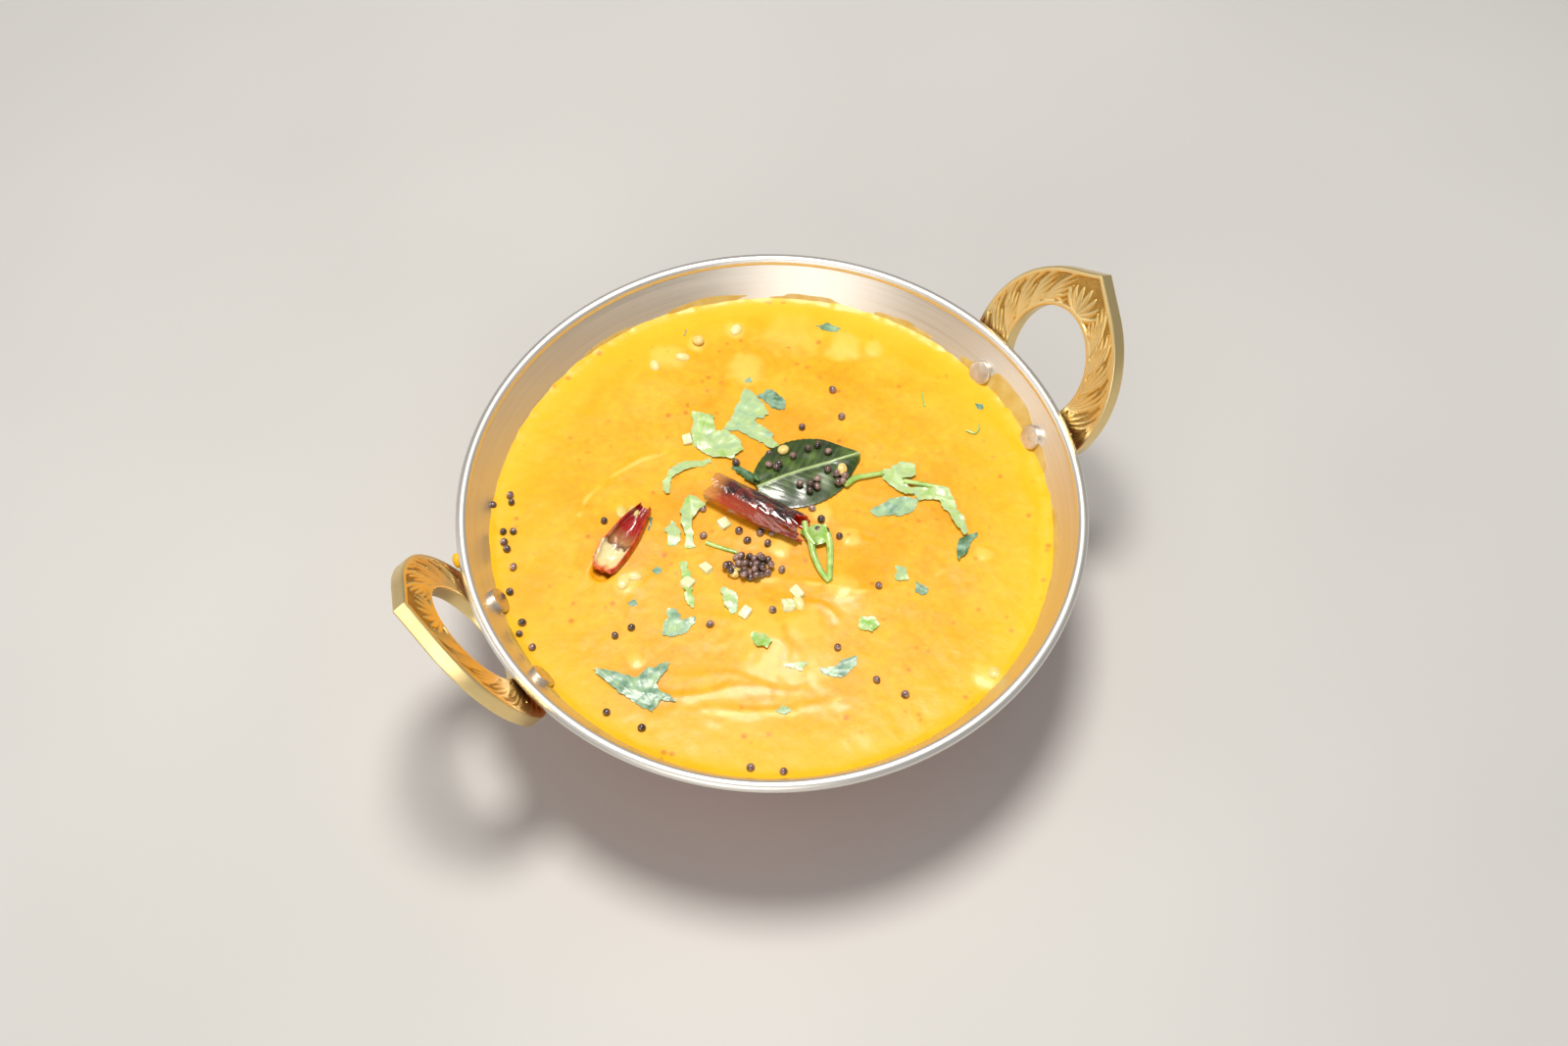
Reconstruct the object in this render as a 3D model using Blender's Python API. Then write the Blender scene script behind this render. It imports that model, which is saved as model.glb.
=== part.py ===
"""Dal in a small two-handled kadai, topped with fried dried chilli and a curry leaf.

Units are metres and +Z is up. The origin is the centre of the bowl's flat base, on the surface it stands on,
and the two handles stand along +X and -X. Each sub-part is one closed object.
"""

import math

import bmesh
import bpy
from mathutils import Matrix, Vector

for leftover in list(bpy.data.objects):
    bpy.data.objects.remove(leftover, do_unlink=True)

# ---- Driving dimensions ----

CLEARANCE = 0.0003  # left between pieces that touch
FACETS = 52  # round the bowl, and shared by everything that fits it

# Bowl: a steel liner inside a copper shell, with the liner's edge rolled over the shell's
RIM_DIAMETER = 0.140  # over the rolled bead
BOWL_HEIGHT = 0.045
BEAD_RADIUS = 0.0013
WALL_SLOPE = math.radians(58)  # from the horizontal, above the corner
CORNER_RADIUS = 0.028  # inside, between the flat base and the wall
SHEET = 0.0005  # thickness of the steel and of the copper
WALL = 2 * SHEET + CLEARANCE

# Dal
DAL_LEVEL = 0.0352
DAL_EDGE_RISE = 0.0004  # where the dal climbs the wall
# x, y, height and spread of each soft mound of the ladled surface
DAL_MOUNDS = (
    (-0.014, -0.026, 0.0011, 0.008),
    (0.006, -0.024, 0.0008, 0.007),
    (-0.031, 0.014, 0.0008, 0.009),
    (0.003, 0.004, 0.0007, 0.015),
    (0.030, 0.022, 0.0005, 0.014),
    (-0.004, 0.050, 0.0006, 0.010),
    (-0.020, -0.046, -0.0005, 0.012),
)

# Handles: flat cast rings with a pointed top, leaning outwards, riveted on by two feet
HANDLE_TILT = math.radians(62.84)  # from the horizontal
HANDLE_REACH = 0.0695  # from the bowl's axis to the plate's inner face, at the bead's height
PLATE_THICKNESS = 0.0034
PLATE_BEVEL = 0.0004
RING_HALF_WIDTH = 0.0213
RING_WIDEST = 0.0020  # up the plate from the bead's height, as are the next two
RING_FOOT = -0.0150
EYE_CENTRE = 0.0045
EYE_HALF_WIDTH = 0.0118
EYE_HALF_HEIGHT = 0.0140
ARCH_RADIUS = 0.0285  # of the two arcs that meet at the tip
TIP_FLICK = 0.0016  # how far the tip is drawn up past the arcs
TIP_FLICK_HALF_WIDTH = 0.008
FOOT_SQUARENESS = 2.6  # 2 is an ellipse

# Rivets: two through each handle's feet
RIVET_HEIGHT = 0.0366  # where the rivet's axis meets the liner's inner face
RIVET_SPREAD = math.radians(9.67)  # each side of the handle's middle
RIVET_HEAD_RADIUS = 0.0029
RIVET_HEAD_HEIGHT = 0.0013
RIVET_EDGE = 0.0004
RIVET_SHANK_RADIUS = 0.0015
RIVET_TAIL_RADIUS = 0.0024
RIVET_TAIL_HEIGHT = 0.0012
RIVET_SEAT = 0.0053  # from the liner's inner face to the flat spot on the handle's outer face
RIVET_FACETS = 12
PAD_RADIUS = 0.0050  # of the boss that joins each foot to the wall

# Toppings, each lying in the dal
CHILLI_ENDS = (Vector((-0.0078, 0.0132, 0)), Vector((0.0046, -0.0072, 0)))
CHILLI_RADIUS = 0.0038
CHILLI_BOW = 0.0006  # how far its middle bends sideways
CHILLI_SINK = 0.0017
CHILLI_HOLLOW = 0.0045  # depth of its torn, open end
SPLIT_ENDS = (Vector((-0.0395, 0.0070, 0)), Vector((-0.0235, 0.0165, 0)))
SPLIT_RADIUS = 0.0036
SPLIT_SKIN = 0.0009
SPLIT_SINK = 0.0022
LEAF_BASE = Vector((0.0, 0.0084, 0))
LEAF_TIP = Vector((0.026, 0.0048, 0))
LEAF_COVERED = 0.12  # the share of its length that the chilli hides
LEAF_HALF_WIDTH = 0.0088
LEAF_THICKNESS = 0.0005
LEAF_CUP = 0.0006  # how far each half of the blade arches


# ---- Materials ----


def finish(name, colour, roughness, metallic=0.0):
    made = bpy.data.materials.new(name)
    made.use_nodes = True
    shader = made.node_tree.nodes["Principled BSDF"]
    shader.inputs["Base Color"].default_value = (*colour, 1)
    shader.inputs["Roughness"].default_value = roughness
    shader.inputs["Metallic"].default_value = metallic
    return made


STEEL = finish("stainless_steel", (0.62, 0.61, 0.59), 0.30, 1.0)
COPPER = finish("copper", (0.80, 0.38, 0.22), 0.28, 1.0)
BRASS = finish("cast_brass", (0.72, 0.50, 0.18), 0.32, 1.0)
RIVET_STEEL = finish("rivet_steel", (0.66, 0.65, 0.62), 0.35, 1.0)
DAL = finish("dal", (0.86, 0.47, 0.07), 0.35)
CHILLI_SKIN = finish("dried_chilli", (0.16, 0.02, 0.01), 0.25)
LEAF_GREEN = finish("fried_curry_leaf", (0.02, 0.07, 0.02), 0.25)


# ---- Making meshes ----


def placed(name, bm, material):
    """An object that holds this mesh, round surfaces smooth and edges sharp."""
    bmesh.ops.remove_doubles(bm, verts=bm.verts, dist=1e-6)
    bmesh.ops.recalc_face_normals(bm, faces=bm.faces)
    mesh = bpy.data.meshes.new(name)
    bm.to_mesh(mesh)
    bm.free()
    mesh.shade_smooth()
    mesh.set_sharp_from_angle(angle=math.radians(35))
    if material:
        mesh.materials.append(material)
    made = bpy.data.objects.new(name, mesh)
    bpy.context.scene.collection.objects.link(made)
    return made


def turned(bm, profile, steps, matrix=None):
    """Adds a profile of (radius, height) points, both ends on the axis, turned about Z."""
    verts = [bm.verts.new((radius, 0, height)) for radius, height in profile]
    edges = [bm.edges.new(pair) for pair in zip(verts, verts[1:])]
    spun = bmesh.ops.spin(
        bm, geom=verts + edges, cent=(0, 0, 0), axis=(0, 0, 1), dvec=(0, 0, 0),
        angle=math.tau, steps=steps, use_merge=True, use_duplicate=False,
    )
    if matrix:
        touched = {vert for vert in spun["geom_last"] if isinstance(vert, bmesh.types.BMVert)} | set(verts)
        todo = list(touched)
        while todo:
            for edge in todo.pop().link_edges:
                for vert in edge.verts:
                    if vert not in touched:
                        touched.add(vert)
                        todo.append(vert)
        bmesh.ops.transform(bm, matrix=matrix, verts=list(touched))


def lofted(bm, rings, strip_ends=False):
    """Adds a skin through rings of equally many points.

    Each end is closed by a fan to its middle, or by a strip across a thin ring's two long sides."""
    rows = [[bm.verts.new(point) for point in ring] for ring in rings]
    count = len(rows[0])
    for row, following in zip(rows, rows[1:]):
        for i in range(count):
            j = (i + 1) % count
            bm.faces.new((row[i], row[j], following[j], following[i]))
    for row, ring in ((rows[0], rings[0]), (rows[-1], rings[-1])):
        if strip_ends:
            for i in range(count // 2 - 1):
                bm.faces.new((row[i], row[i + 1], row[count - 2 - i], row[count - 1 - i]))
        else:
            middle = bm.verts.new(sum(ring, Vector()) / count)
            for i in range(count):
                bm.faces.new((row[i], row[(i + 1) % count], middle))


def cutter(name, bm):
    """A guide that cuts or adds to other objects and isn't a piece itself."""
    made = placed(name, bm, None)
    made.hide_render = True
    made.display_type = "WIRE"
    return made


def boolean(target, other, operation="DIFFERENCE"):
    step = target.modifiers.new(f"{operation.lower()}_{other.name}", "BOOLEAN")
    step.operation = operation
    step.solver = "EXACT"
    step.object = other


# ---- The bowl's section ----

BEAD_CENTRE = (RIM_DIAMETER / 2 - BEAD_RADIUS, BOWL_HEIGHT - BEAD_RADIUS)
UP_WALL = (math.cos(WALL_SLOPE), math.sin(WALL_SLOPE))
OUT_OF_WALL = (math.sin(WALL_SLOPE), -math.cos(WALL_SLOPE))
CORNER_HEIGHT = WALL + CORNER_RADIUS  # of the corner arc's centre
BASE_RADIUS = BEAD_CENTRE[0] + (
    (CORNER_HEIGHT - BEAD_CENTRE[1]) * UP_WALL[0] - CORNER_RADIUS - SHEET / 2
) / UP_WALL[1]


def on_wall(offset, along):
    """A point of the straight wall: offset outwards from the liner's inner face, along up from the bead."""
    out = offset - SHEET / 2
    return (
        BEAD_CENTRE[0] + out * OUT_OF_WALL[0] + along * UP_WALL[0],
        BEAD_CENTRE[1] + out * OUT_OF_WALL[1] + along * UP_WALL[1],
    )


def wall_at_height(offset, height):
    """The radius of the straight wall's offset surface at this height."""
    radius, level = on_wall(offset, 0)
    return radius + (height - level) / math.tan(WALL_SLOPE)


def bowl_curve(offset, top, arc_steps=5):
    """The section at this offset, from the axis over the base, round the corner and up to the point top."""
    radius = CORNER_RADIUS + offset
    points = [(0.0, CORNER_HEIGHT - radius)]
    for step in range(arc_steps + 1):
        turn = WALL_SLOPE * step / arc_steps
        points.append((BASE_RADIUS + radius * math.sin(turn), CORNER_HEIGHT - radius * math.cos(turn)))
    return points + [top]


def bead_arc(radius, inside, outside, steps):
    """Points round the rolled bead, from where a surface at offset inside meets it to one at outside."""
    start = -math.pi + math.asin((SHEET / 2 - inside) / radius)
    end = math.pi - math.asin((outside - SHEET / 2) / radius)
    points = []
    for step in range(steps + 1):
        turn = start + (end - start) * step / steps
        points.append((
            BEAD_CENTRE[0] + radius * (math.cos(turn) * UP_WALL[0] + math.sin(turn) * OUT_OF_WALL[0]),
            BEAD_CENTRE[1] + radius * (math.cos(turn) * UP_WALL[1] + math.sin(turn) * OUT_OF_WALL[1]),
        ))
    return points


def bowl_steel():
    bead = bead_arc(BEAD_RADIUS, 0, SHEET, 8)
    inner = bowl_curve(0, bead[0])
    outer = bowl_curve(SHEET, bead[-1])
    bm = bmesh.new()
    turned(bm, inner + bead[1:-1] + outer[::-1], FACETS)
    return placed("bowl_steel", bm, STEEL)


def bowl_copper():
    top = -(BEAD_RADIUS + CLEARANCE)
    inner = bowl_curve(SHEET + CLEARANCE, on_wall(SHEET + CLEARANCE, top))
    outer = bowl_curve(WALL, on_wall(WALL, top))
    bm = bmesh.new()
    turned(bm, inner + outer[::-1], FACETS)
    return placed("bowl_copper", bm, COPPER)


def bowl_clearance():
    """All that a handle has to keep out of: the bowl's outer form, larger by the clearance."""
    offset = WALL + CLEARANCE
    bead = bead_arc(BEAD_RADIUS + CLEARANCE, 0, offset, 8)
    crown = [point for point in bead if point[1] > BEAD_CENTRE[1] or point[0] > BEAD_CENTRE[0]]
    bm = bmesh.new()
    floor = on_wall(offset, -0.03)
    top = max(point[1] for point in crown)
    turned(bm, [(0.0, floor[1]), floor, bead[-1]] + crown[::-1] + [(0.0, top)], FACETS)
    return cutter("bowl_clearance", bm)


# ---- Rivets ----


def rivet_places():
    """Each rivet's name and frame: at the liner's inner face, +Z out along the wall's normal."""
    radius = wall_at_height(0, RIVET_HEIGHT)
    for side, facing in (("right", 0.0), ("left", math.pi)):
        for number, spread in ((1, -RIVET_SPREAD), (2, RIVET_SPREAD)):
            lean = Matrix.Translation((radius, 0, RIVET_HEIGHT)) @ Matrix.Rotation(
                math.pi / 2 + (math.pi / 2 - WALL_SLOPE), 4, "Y"
            )
            yield side, f"rivet_{side}_{number}", Matrix.Rotation(facing + spread, 4, "Z") @ lean


def rivet_mesh():
    head = -CLEARANCE
    tail = RIVET_SEAT + CLEARANCE
    bm = bmesh.new()
    turned(bm, [
        (0.0, head - RIVET_HEAD_HEIGHT),
        (RIVET_HEAD_RADIUS - RIVET_EDGE, head - RIVET_HEAD_HEIGHT),
        (RIVET_HEAD_RADIUS, head - RIVET_HEAD_HEIGHT + RIVET_EDGE),
        (RIVET_HEAD_RADIUS, head),
        (RIVET_SHANK_RADIUS, head),
        (RIVET_SHANK_RADIUS, tail),
        (RIVET_TAIL_RADIUS, tail),
        (RIVET_TAIL_RADIUS, tail + RIVET_TAIL_HEIGHT / 2),
        (RIVET_TAIL_RADIUS * 0.6, tail + RIVET_TAIL_HEIGHT),
        (0.0, tail + RIVET_TAIL_HEIGHT),
    ], RIVET_FACETS)
    return bm


def rivets():
    for _, name, frame in rivet_places():
        made = placed(name, rivet_mesh(), RIVET_STEEL)
        made.matrix_world = frame


def stepped_cutter(name, sections):
    """One cutter with a turned plug at every rivet. sections are (radius, from, to) along the rivet."""
    profile = [(0.0, sections[0][1])]
    for radius, start, end in sections:
        profile += [(radius, start), (radius, end)]
    profile.append((0.0, sections[-1][2]))
    bm = bmesh.new()
    for _, _, frame in rivet_places():
        turned(bm, profile, RIVET_FACETS, frame)
    return cutter(name, bm)


# ---- Handles ----


def ring_outline(count):
    """(across, up) points round the plate: two arcs that meet in a drawn-up tip, and a squarish foot."""
    half = count // 2
    inset = ARCH_RADIUS - RING_HALF_WIDTH
    arch_turn = math.acos(inset / ARCH_RADIUS)
    points = []
    for step in range(half):
        turn = arch_turn * step / half
        across = ARCH_RADIUS * math.cos(turn) - inset
        flick = TIP_FLICK * max(0.0, 1 - across / TIP_FLICK_HALF_WIDTH) ** 2
        points.append((across, RING_WIDEST + ARCH_RADIUS * math.sin(turn) + flick))
    points.append((0.0, RING_WIDEST + ARCH_RADIUS * math.sin(arch_turn) + TIP_FLICK))
    points += [(-across, up) for across, up in points[-2::-1]]
    drop = RING_WIDEST - RING_FOOT
    for step in range(1, count):
        turn = math.pi * step / count
        power = 2 / FOOT_SQUARENESS
        cosine = math.cos(turn)
        across = -RING_HALF_WIDTH * math.copysign(abs(cosine) ** power, cosine)
        points.append((across, RING_WIDEST - drop * math.sin(turn) ** power))
    return points


def eye_outline(outline):
    """The oval hole's points, one facing each point of the outline."""
    points = []
    for across, up in outline:
        turn = math.atan2((up - EYE_CENTRE) / EYE_HALF_HEIGHT, across / EYE_HALF_WIDTH)
        points.append((EYE_HALF_WIDTH * math.cos(turn), EYE_CENTRE + EYE_HALF_HEIGHT * math.sin(turn)))
    return points


def plate_frame():
    """From (across, up the plate, out through it) to the handle at +X."""
    up = Vector((math.cos(HANDLE_TILT), 0, math.sin(HANDLE_TILT)))
    out = Vector((math.sin(HANDLE_TILT), 0, -math.cos(HANDLE_TILT)))
    frame = Matrix((Vector((0, 1, 0)), up, out)).transposed().to_4x4()
    return Matrix.Translation((HANDLE_REACH, 0, BEAD_CENTRE[1])) @ frame


def ring_plate():
    outline = ring_outline(22)
    eye = eye_outline(outline)
    bm = bmesh.new()
    levels = (0.0, PLATE_THICKNESS)
    outer = [[bm.verts.new((x, y, z)) for x, y in outline] for z in levels]
    inner = [[bm.verts.new((x, y, z)) for x, y in eye] for z in levels]
    for i in range(len(outline)):
        j = (i + 1) % len(outline)
        bm.faces.new((outer[0][i], outer[0][j], inner[0][j], inner[0][i]))
        bm.faces.new((outer[1][i], inner[1][i], inner[1][j], outer[1][j]))
        bm.faces.new((outer[0][i], outer[1][i], outer[1][j], outer[0][j]))
        bm.faces.new((inner[0][i], inner[0][j], inner[1][j], inner[1][i]))
    rims = [edge for edge in bm.edges if edge.calc_face_angle(0) > math.radians(80)]
    bmesh.ops.bevel(bm, geom=rims, offset=PLATE_BEVEL, segments=1, affect="EDGES")
    bmesh.ops.transform(bm, matrix=plate_frame(), verts=bm.verts)
    return bm


def handles(bowl_room, rivet_room):
    pad_profile = [
        (0.0, SHEET), (PAD_RADIUS, SHEET),
        (PAD_RADIUS, RIVET_SEAT - PLATE_THICKNESS / 2), (0.0, RIVET_SEAT - PLATE_THICKNESS / 2),
    ]
    for side, facing in (("right", 0.0), ("left", math.pi)):
        ring = ring_plate()
        bmesh.ops.transform(ring, matrix=Matrix.Rotation(facing, 4, "Z"), verts=ring.verts)
        made = placed(f"handle_{side}", ring, BRASS)
        pads = bmesh.new()
        for rivet_side, _, frame in rivet_places():
            if rivet_side == side:
                turned(pads, pad_profile, 16, frame)
        boolean(made, cutter(f"pads_{side}", pads), "UNION")
        boolean(made, bowl_room)
        boolean(made, rivet_room)


# ---- Food ----


def dal_top(x, y):
    """The height of the dal's surface, which is ladled and not quite level."""
    height = DAL_LEVEL
    for mound_x, mound_y, rise, spread in DAL_MOUNDS:
        away = ((x - mound_x) ** 2 + (y - mound_y) ** 2) / spread**2
        height += rise * math.exp(-away)
    return height


def circle(radius, height_of):
    ring = []
    for step in range(FACETS):
        turn = math.tau * step / FACETS
        x, y = radius * math.cos(turn), radius * math.sin(turn)
        ring.append(Vector((x, y, height_of(x, y))))
    return ring


def dal():
    edge_height = DAL_LEVEL + DAL_EDGE_RISE
    edge = wall_at_height(-CLEARANCE, edge_height)
    section = bowl_curve(-CLEARANCE, (edge, edge_height))
    rings = [circle(radius, lambda x, y, height=height: height) for radius, height in section[1:]]
    for radius in (0.0615, 0.056, 0.048, 0.040, 0.032, 0.024, 0.016, 0.008):
        rings.append(circle(radius, dal_top))
    bm = bmesh.new()
    lofted(bm, rings)
    return placed("dal", bm, DAL)


def along(ends, part):
    return ends[0].lerp(ends[1], part)


def across_of(ends):
    """The level direction square to the line between two ends, to its left."""
    line = (ends[1] - ends[0]).normalized()
    return Vector((-line.y, line.x, 0))


def chilli_rings(grow=0.0):
    """Rings from the cut end over the skin to the torn end and, on the piece itself, down inside it."""
    side = across_of(CHILLI_ENDS)
    middle = along(CHILLI_ENDS, 0.5)
    height = dal_top(middle.x, middle.y) - CHILLI_SINK + CHILLI_RADIUS
    length = (CHILLI_ENDS[1] - CHILLI_ENDS[0]).length
    stations = [
        (0.0, 0.50), (0.02, 0.78), (0.10, 0.90), (0.25, 1.0), (0.45, 1.0),
        (0.62, 0.93), (0.78, 0.86), (0.92, 0.84), (1.0, 0.80),
    ]
    skin = [(part, CHILLI_RADIUS * share + grow) for part, share in stations]
    skin[0] = (-grow / length, skin[0][1])
    skin[-1] = (1 + grow / length, skin[-1][1])
    if not grow:
        skin += [(0.995, CHILLI_RADIUS * 0.58), (1 - CHILLI_HOLLOW / length, CHILLI_RADIUS * 0.42)]
    rings = []
    for part, radius in skin:
        centre = along(CHILLI_ENDS, part) + side * CHILLI_BOW * (1 - (2 * part - 1) ** 2)
        centre.z = height
        ring = []
        for step in range(12):
            turn = math.tau * step / 12
            ring.append(centre + (side * math.cos(turn) + Vector((0, 0, math.sin(turn)))) * radius)
        rings.append(ring)
    return rings


def split_stations(grow):
    """The torn piece's (centre, radius) along its length."""
    length = (SPLIT_ENDS[1] - SPLIT_ENDS[0]).length
    middle = along(SPLIT_ENDS, 0.5)
    height = dal_top(middle.x, middle.y) - SPLIT_SINK + SPLIT_RADIUS
    for part, share in ((0.0, 0.80), (0.15, 1.0), (0.4, 1.05), (0.65, 0.90), (0.85, 0.65), (1.0, 0.40)):
        centre = along(SPLIT_ENDS, part + (part - 0.5) * 2 * grow / length)
        centre.z = height
        yield centre, SPLIT_RADIUS * share + grow


def split_rings():
    """A trough of skin that lies open side up."""
    side = across_of(SPLIT_ENDS)
    turns = [math.radians(25 * step - 90) for step in range(-4, 5)]
    rings = []
    for centre, radius in split_stations(0):
        rings.append([
            centre + (side * math.cos(turn) + Vector((0, 0, math.sin(turn)))) * reach
            for reach, order in ((radius, turns), (radius - SPLIT_SKIN, turns[::-1]))
            for turn in order
        ])
    return rings


def split_room_rings():
    """All that the trough covers, with its clearance, up past the dal's surface."""
    side = across_of(SPLIT_ENDS)
    rings = []
    for centre, radius in split_stations(CLEARANCE):
        ring = [
            centre + (side * math.cos(turn) + Vector((0, 0, math.sin(turn)))) * radius
            for turn in (math.radians(30 * step - 90) for step in range(-3, 4))
        ]
        rings.append(ring + [centre + side * radius * way + Vector((0, 0, SPLIT_RADIUS)) for way in (1, -1)])
    return rings


def chilli(name, rings, room_rings, strip_ends):
    """The piece, and in return the room that it needs in the dal."""
    bm = bmesh.new()
    lofted(bm, rings, strip_ends)
    placed(name, bm, CHILLI_SKIN)
    room = bmesh.new()
    lofted(room, room_rings)
    return cutter(f"{name}_clearance", room)


def leaf_half_width(part):
    """Half the blade's width at this part of its length: full and rounded, with a short point."""
    return LEAF_HALF_WIDTH * math.sin(math.pi * part**0.85) ** 0.62


def room_beside_chilli(point, direction):
    """How far the leaf may reach from this point before it meets the whole chilli."""
    away = across_of(CHILLI_ENDS)
    free = (point - CHILLI_ENDS[0]).dot(away) - CHILLI_RADIUS - CHILLI_BOW - CLEARANCE
    closing = -direction.dot(away)
    return free / closing


def curry_leaf():
    side = across_of((LEAF_BASE, LEAF_TIP))
    rings = []
    for step in range(12):
        part = LEAF_COVERED + (0.97 - LEAF_COVERED) * step / 11
        centre = LEAF_BASE.lerp(LEAF_TIP, part)
        half = leaf_half_width(part)
        near = min(half, room_beside_chilli(centre, -side))
        top, under = [], []
        for share in (-1, -0.75, -0.5, -0.25, 0, 0.25, 0.5, 0.75, 1):
            point = centre + side * share * (near if share < 0 else half)
            arch = LEAF_CUP * math.sin(math.pi * abs(share))
            rest = dal_top(point.x, point.y) + 1.25 * CLEARANCE + arch
            under.append(Vector((point.x, point.y, rest)))
            top.append(Vector((point.x, point.y, rest + LEAF_THICKNESS)))
        rings.append(top + under[::-1])
    bm = bmesh.new()
    lofted(bm, rings, strip_ends=True)
    placed("curry_leaf", bm, LEAF_GREEN)


# ---- Assembly ----

liner = bowl_steel()
shell = bowl_copper()
rivets()
shank_room = stepped_cutter(
    "shank_clearance", [(RIVET_SHANK_RADIUS + CLEARANCE, -2 * RIVET_HEAD_HEIGHT, RIVET_SEAT)]
)
handle_rivet_room = stepped_cutter("rivet_clearance", [
    (RIVET_SHANK_RADIUS + CLEARANCE, -2 * RIVET_HEAD_HEIGHT, RIVET_SEAT),
    (RIVET_TAIL_RADIUS + 2 * CLEARANCE, RIVET_SEAT, 3 * RIVET_SEAT),
])
head_room = stepped_cutter(
    "head_clearance", [(RIVET_HEAD_RADIUS + CLEARANCE, -2 * RIVET_HEAD_HEIGHT, CLEARANCE)]
)
boolean(liner, shank_room)
boolean(shell, shank_room)
handles(bowl_clearance(), handle_rivet_room)
soup = dal()
boolean(soup, head_room)
boolean(soup, chilli("chilli_whole", chilli_rings(), chilli_rings(CLEARANCE), strip_ends=False))
boolean(soup, chilli("chilli_split", split_rings(), split_room_rings(), strip_ends=True))
curry_leaf()
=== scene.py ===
"""The looks of the dal in its kadai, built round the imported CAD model.

Metres, +Z up, with the origin at the centre of the bowl's flat base. The handles stand along +X and -X.
"""
import math

import bmesh
import bpy
import numpy as np
from mathutils import Matrix, Vector
from mathutils.geometry import delaunay_2d_cdt


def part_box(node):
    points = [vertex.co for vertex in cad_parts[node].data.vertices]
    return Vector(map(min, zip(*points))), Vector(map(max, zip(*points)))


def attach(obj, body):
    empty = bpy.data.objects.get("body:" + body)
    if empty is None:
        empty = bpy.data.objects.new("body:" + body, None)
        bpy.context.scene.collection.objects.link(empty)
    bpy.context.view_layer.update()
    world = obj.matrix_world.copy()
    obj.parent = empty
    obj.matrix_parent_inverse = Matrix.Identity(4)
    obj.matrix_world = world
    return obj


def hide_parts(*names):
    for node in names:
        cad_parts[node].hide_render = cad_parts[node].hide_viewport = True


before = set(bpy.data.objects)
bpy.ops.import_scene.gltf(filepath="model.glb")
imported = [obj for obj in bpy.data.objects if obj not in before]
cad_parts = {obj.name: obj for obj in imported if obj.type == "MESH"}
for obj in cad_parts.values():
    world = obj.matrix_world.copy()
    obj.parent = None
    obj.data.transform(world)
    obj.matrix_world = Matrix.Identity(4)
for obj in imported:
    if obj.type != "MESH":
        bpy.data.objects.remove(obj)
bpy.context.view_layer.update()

# ---- Table top, lamps and camera ----
# A plain pale matt table top stands in for whatever the bowl is served on. One broad soft lamp hangs almost
# straight above, as over a kitchen pass, and two weaker ones fill in from the left, one near and one far.


def linear(hex_colour):
    """An sRGB hex colour as the linear RGBA that sockets take."""
    parts = [int(hex_colour[i : i + 2], 16) / 255 for i in (1, 3, 5)]
    return (*(c / 12.92 if c <= 0.04045 else ((c + 0.055) / 1.055) ** 2.4 for c in parts), 1.0)


def fill(tree, node, inputs):
    """Sets or links the node's sockets, by name or number. A node given as a value stands for its first
    output."""
    for socket, value in inputs.items():
        if isinstance(value, bpy.types.Node):
            value = value.outputs[0]
        if isinstance(value, bpy.types.NodeSocket):
            tree.links.new(value, node.inputs[socket])
        else:
            node.inputs[socket].default_value = value


def add(tree, kind, inputs=None, stops=(), **settings):
    """Adds a node with these settings, fills its sockets from inputs, and its colour ramp from stops."""
    made = tree.nodes.new(kind)
    for name, value in settings.items():
        setattr(made, name, value)
    for _ in stops[2:]:  # a new ramp has two stops already
        made.color_ramp.elements.new(0.5)
    for number, (place, colour) in enumerate(stops):
        made.color_ramp.elements[number].position = place
        made.color_ramp.elements[number].color = linear(colour)
    fill(tree, made, inputs or {})
    return made


def new_material(name, **sockets):
    """A material of one Principled shader with these values, then its tree, its shader and its object
    coordinates. A pattern's scale is written as 1000 over the real size of its cells in millimetres."""
    made = bpy.data.materials.new(name)
    made.use_nodes = True
    tree = made.node_tree
    shader = tree.nodes["Principled BSDF"]
    fill(tree, shader, {socket.replace("_", " "): value for socket, value in sockets.items()})
    return made, tree, shader, add(tree, "ShaderNodeTexCoord").outputs["Object"]


def mottled(name, patch_mm, detail, stops, bump=None, **sockets):
    """A material that wanders between the colours of stops in patches patch_mm wide, with a bump of
    (strength, depth)."""
    made, tree, shader, place = new_material(name, **sockets)
    patches = add(tree, "ShaderNodeTexNoise", {0: place, "Scale": 1000 / patch_mm, "Detail": detail})
    fill(tree, shader, {"Base Color": add(tree, "ShaderNodeValToRGB", {0: patches}, stops=stops)})
    if bump:
        strength, depth = bump
        relief = add(tree, "ShaderNodeBump", {"Height": patches, "Strength": strength, "Distance": depth})
        fill(tree, shader, {"Normal": relief})
    return made


# matt laminate: an even pale grey that hardly varies across the table and mirrors nothing
TABLE_SIZE = 6.0
table_material = mottled("matt_laminate", 167, 2.0, [(0.3, "#BDBBB7"), (0.7, "#C5C3BF")], Roughness=0.55)
table_mesh = bpy.data.meshes.new("table_top")
half = TABLE_SIZE / 2
table_mesh.from_pydata(
    [(-half, -half, 0), (half, -half, 0), (half, half, 0), (-half, half, 0)], [], [(0, 1, 2, 3)]
)
table_mesh.materials.append(table_material)
table_top = bpy.data.objects.new("table_top", table_mesh)
bpy.context.scene.collection.objects.link(table_top)

world = bpy.data.worlds.new("studio")
world.use_nodes = True
fill(world.node_tree, world.node_tree.nodes["Background"], {"Color": linear("#E9ECF0"), "Strength": 0.42})
bpy.context.scene.world = world
bpy.context.scene.view_settings.view_transform = "Standard"

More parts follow.
